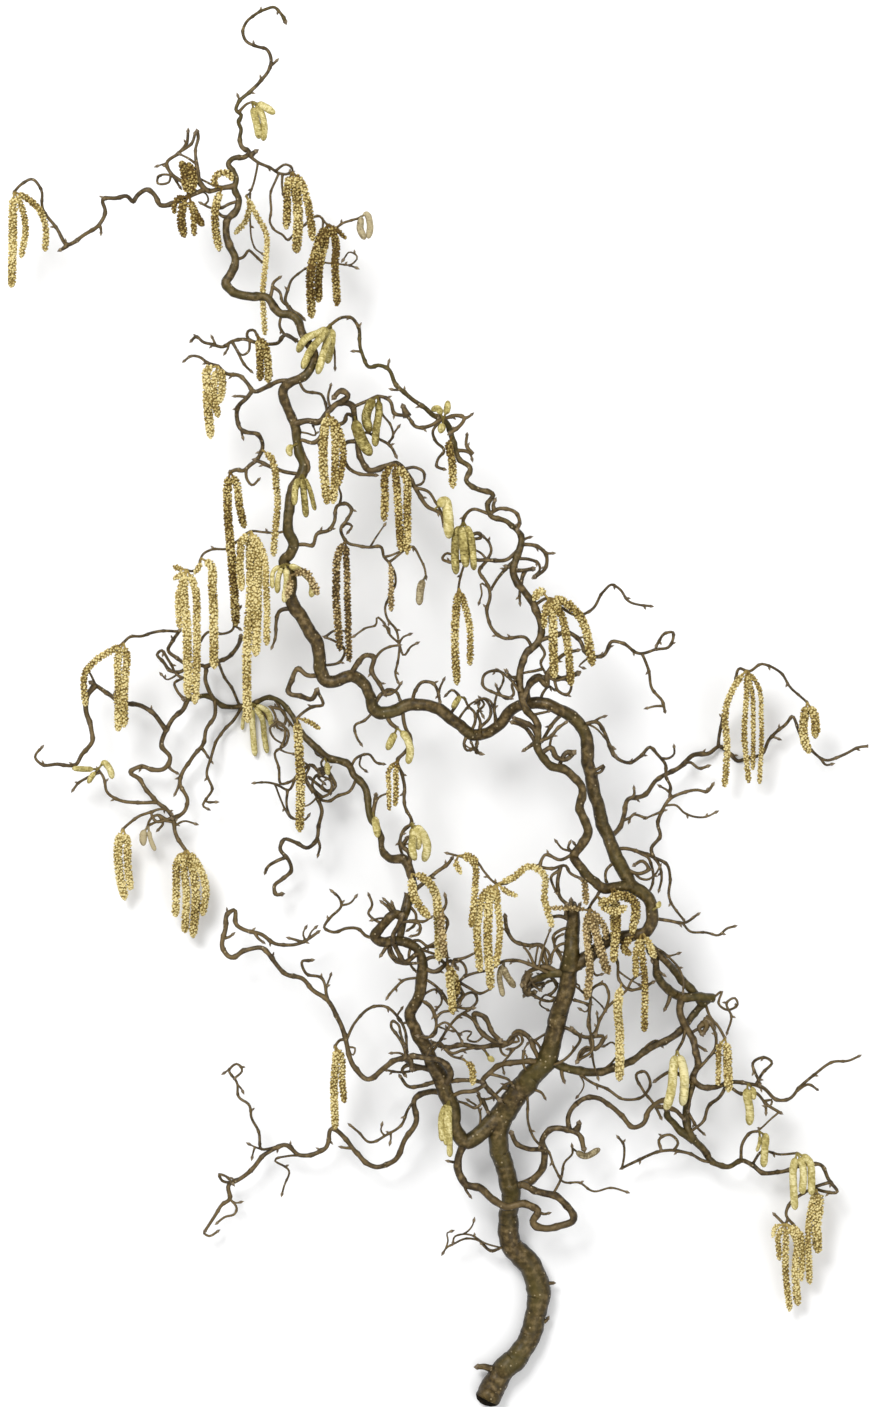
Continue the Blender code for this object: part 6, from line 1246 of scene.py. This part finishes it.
def flowers(rows, stops, pitch, size, draws):
    """Florets on a spiral: the k-th stands k golden angles round, near the catkin's surface, and is a
    ball stretched outward. Their places, their axes, how far each looks up, and a shade for each."""
    length = stops[-1] - STALK_LENGTH
    wide = rows[:, 3].max() / PLAN_UNIT
    ring = max(4, round(2 * np.pi * (wide - 0.6 * size) / (1.9 * size)))
    count = max(6, int(length / pitch * ring))
    way = STALK_LENGTH + 0.5 + (length - 1.0) * (np.arange(count) + draws.uniform(-0.4, 0.4, count)) / count
    near = np.clip(np.searchsorted(stops, way), 0, len(stops) - 1)
    onward, side, up = (v[near] for v in along_path(rows))
    turn = np.arange(count) * GOLDEN_ANGLE + draws.uniform(-0.25, 0.25, count)
    out = np.cos(turn)[:, None] * side + np.sin(turn)[:, None] * up
    out = out + 0.35 * draws.uniform(-1, 1, count)[:, None] * onward
    out /= np.linalg.norm(out, axis=1)[:, None]
    own = size * PLAN_UNIT * draws.uniform(0.75, 1.2, count)
    reach = np.maximum(rows[near, 3] - (0.78 - draws.uniform(-0.25, 0.45, count) ** 3 * 4) * own, 0.2 * own)
    places = rows[near, :3] + out * reach[:, None]
    across = np.cross(out, onward)
    across /= np.maximum(np.linalg.norm(across, axis=1), 1e-9)[:, None]
    third = np.cross(out, across)
    axes = np.stack([out * 1.1, across * 0.9, third * 0.85], axis=1) * own[:, None, None]
    shades = draws.uniform(-0.12, 0.12, count) + 0.15 * np.sin(way / 9 + draws.uniform(0, 6))
    return places, axes, out[:, 2], shades


def catkin_finish(name, dark, middle, light):
    """From the relief attribute: pale scale tips and dark gaps between them, partly the catkin's own colour
    and partly painted shade, with painted shade below and painted light on top, and a tone of its own for
    each catkin.
    """
    catkin = Finish(name, 0.8, 0.15)
    level = catkin.math("MULTIPLY_ADD", catkin.noise(420.0, 3.0), 0.7, catkin.value_of("relief"))
    toned = catkin.math("ADD", level, catkin.value_of("tint"))
    return catkin.coloured(catkin.ramp(toned, (0.30, dark), (1.0, light), [(0.66, middle)]))


OPEN = catkin_finish("open_catkin", (0.120, 0.072, 0.018), (0.435, 0.325, 0.105), (0.76, 0.65, 0.32))
CLOSED = catkin_finish("closed_catkin", (0.14, 0.105, 0.025), (0.46, 0.385, 0.135), (0.76, 0.68, 0.36))
DRY = catkin_finish("dry_catkin", (0.072, 0.045, 0.017), (0.255, 0.175, 0.068), (0.60, 0.47, 0.24))
# Each look: its finish, the pitch of its rows of florets or scales, and its florets' size, which
# is 0 where there are scales.
LOOKS = {"open": (OPEN, 2.1, 1.55), "closed": (CLOSED, 1.8, 0), "brown": (DRY, 2.6, 1.6)}
# Bunches that are riper and browner (below zero) or fresher and paler (above) than the rest.
RIPENESS = {
    "b_top_left": -0.34, "b_top_trunk": -0.22, "b_top_far": -0.26, "b_top_right": -0.08, "b_top_mid": 0.0,
    "b_ring": -0.26, "b_curl_fat": -0.34, "b_curl_green": -0.28, "b_green": -0.24, "b_curl_trio": -0.18,
    "b_curtain_mid": -0.12, "b_shoulder": -0.08, "b_web": -0.12, "b_elbow": -0.16, "b_elbow_low": -0.10,
    "b_trunk_trio": -0.20, "b_mid_small": -0.20, "b_neck": -0.16, "b_five": -0.10, "b_pale_head": -0.10,
    "b_low_small": -0.12, "b_pale": 0.16, "b_right_pair": 0.16, "b_long": 0.14, "b_arch": 0.10,
    "s_web": -0.12, "s_web_left": -0.20, "s_web_long": -0.14, "s_elbow": -0.14, "s_neck": 0.05,
    "s_top": -0.10, "s_mid": -0.08,
    "s_left_tip": 0.30, "b_top_dry": 0.30, "b_long_left": -0.18, "b_brown_pair": -0.10,
}
# Husks: catkins that dried before they opened, grey-brown and smooth. Then the fattest closed ones.
HUSKS = ("b_left_web", "s_right", "s_left_tip", "s_curl", "b_top_dry")
PLUMP = ("b_left_web", "b_right_pair", "b_pale", "b_curl_fat", "b_green")
HUSK = catkin_finish("husk", (0.045, 0.034, 0.016), (0.20, 0.155, 0.080), (0.44, 0.37, 0.22))
BALL, BALL_FACES = ball()
rng = np.random.default_rng(9)
solids = np.vstack(wood_lines)
seats = {}
BUNCHES_AND_SMALL = {**BUNCHES, **SMALL_BUNCHES}
for name, (_, root, _, _) in BUNCHES_AND_SMALL.items():
    route, sample = nearest_in(plans if name in SMALL_BUNCHES else plans[:coarse], root)
    seats[name] = plans[route][sample]
for name in sorted(BUNCHES_AND_SMALL, key=lambda name: seats[name][2]):
    look, _, side, catkins = BUNCHES_AND_SMALL[name]
    finish, pitch, floret = (HUSK, 2.4, 0) if name in HUSKS else LOOKS[look]
    seat = placed(np.array([[*seats[name][:3], STALK_WIDTH]]))
    ceiling = seat[0, 2] * side + CLIMB_LIMIT
    height = side * clearance_height(seat, solids, side, ceiling)[0] / MILLIMETRE
    bunch = Skin()
    hung = []
    for order, (width, points) in enumerate(catkins):
        if name in PLUMP:
            width *= 1.2
        rows, stops, body = catkin_rows(seats[name], height, order, width, points)
        rows = settle(rows, solids, side)
        swell = np.clip(body, 0, 1)[:, None]
        tint = RIPENESS.get(name, 0.0) + rng.uniform(-0.13, 0.09)
        if floret:
            # The core is coloured dark: partly the catkin's own brown axis, partly painted shade in the gaps
            # between the florets.
            core = slice(None, None, 3)
            radius = rows[core, 3:4] * (1 - 0.38 * swell[core])
            bunch.add(rows[core], CORE_AROUND, radius, relief=0.16, tint=tint)
            places, axes, upper, shades = flowers(rows, stops, pitch, floret, rng)
            # Painted shade on each floret: paler on its outward face, darker towards the core and where it
            # faces down.
            outer = 0.30 + 0.47 * BALL[:, 0] + 0.13 * (upper[:, None] - 1)
            bunch.add_copies(BALL, BALL_FACES, places, axes, relief=outer, tint=tint + shades[:, None])
        else:
            bump = scales(stops, CATKIN_AROUND, pitch, CATKIN_AROUND // 2, 1.3 * order + len(name))
            radius = rows[:, 3:4] * (1 + swell * 0.12 * (bump - 0.75))
            upper = np.sin(np.linspace(0, 2 * np.pi, CATKIN_AROUND, endpoint=False))
            # Pale scale tips and dark gaps, partly the catkin's own colour and partly painted shade, and
            # painted shade darker on the underside, lighter on top.
            relief = (0.14 + 0.80 * bump) * swell * (0.75 + 0.25 * upper)
            bunch.add(rows, CATKIN_AROUND, radius, relief=relief, tint=tint)
        hung.append(rows)
    made = bunch.piece("catkins_" + name[2:] if name in BUNCHES else "small_" + name[2:], finish)
    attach(made, "root")
    if name in BUNCHES:
        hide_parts(name)
    solids = np.vstack([solids] + hung)

# The table and the light: a plain pale table top under broad soft light, the stronger of the two
# lamps from beyond the branch and the weaker from this side, and a white room around.
bpy.ops.mesh.primitive_grid_add(size=8, x_subdivisions=2, y_subdivisions=2)
table = bpy.context.object
table.name = "table_top"
table.data.materials.append(Finish("pale_table", 0.9).coloured((0.93, 0.93, 0.93, 1)))

world = bpy.data.worlds.new("soft_room")
bpy.context.scene.world = world
world.use_nodes = True
world.node_tree.nodes["Background"].inputs["Color"].default_value = (1, 1, 1, 1)
world.node_tree.nodes["Background"].inputs["Strength"].default_value = 0.56
for name, place, size, power in (("key", (-1.1, 1.5, 2.9), 1.3, 80), ("fill", (1.5, -1.0, 3.2), 3.0, 46)):
    lamp = bpy.data.lights.new(name, "AREA")
    lamp.size = size
    lamp.energy = power
    light = bpy.data.objects.new(name, lamp)
    light.location = place
    x, y, z = place
    light.rotation_euler = (math.atan2(math.hypot(x, y), z), 0, math.atan2(x, -y))
    bpy.context.scene.collection.objects.link(light)

bpy.context.scene.view_settings.view_transform = "Standard"

# The camera stands straight above the middle of the picture, in plan units, and looks down.
PICTURE_MIDDLE = (437.5, 703.5)
lens = bpy.data.cameras.new("above")
lens.lens = 150
lens.sensor_fit = "VERTICAL"
lens.sensor_height = 36
camera = bpy.data.objects.new("above", lens)
aside = (PICTURE_MIDDLE[0] - PLAN_MIDDLE[0]) * PLAN_UNIT
ahead = (PLAN_MIDDLE[1] - PICTURE_MIDDLE[1]) * PLAN_UNIT
camera.location = (aside, ahead, SIGHT_HEIGHT)
bpy.context.scene.collection.objects.link(camera)
bpy.context.scene.camera = camera
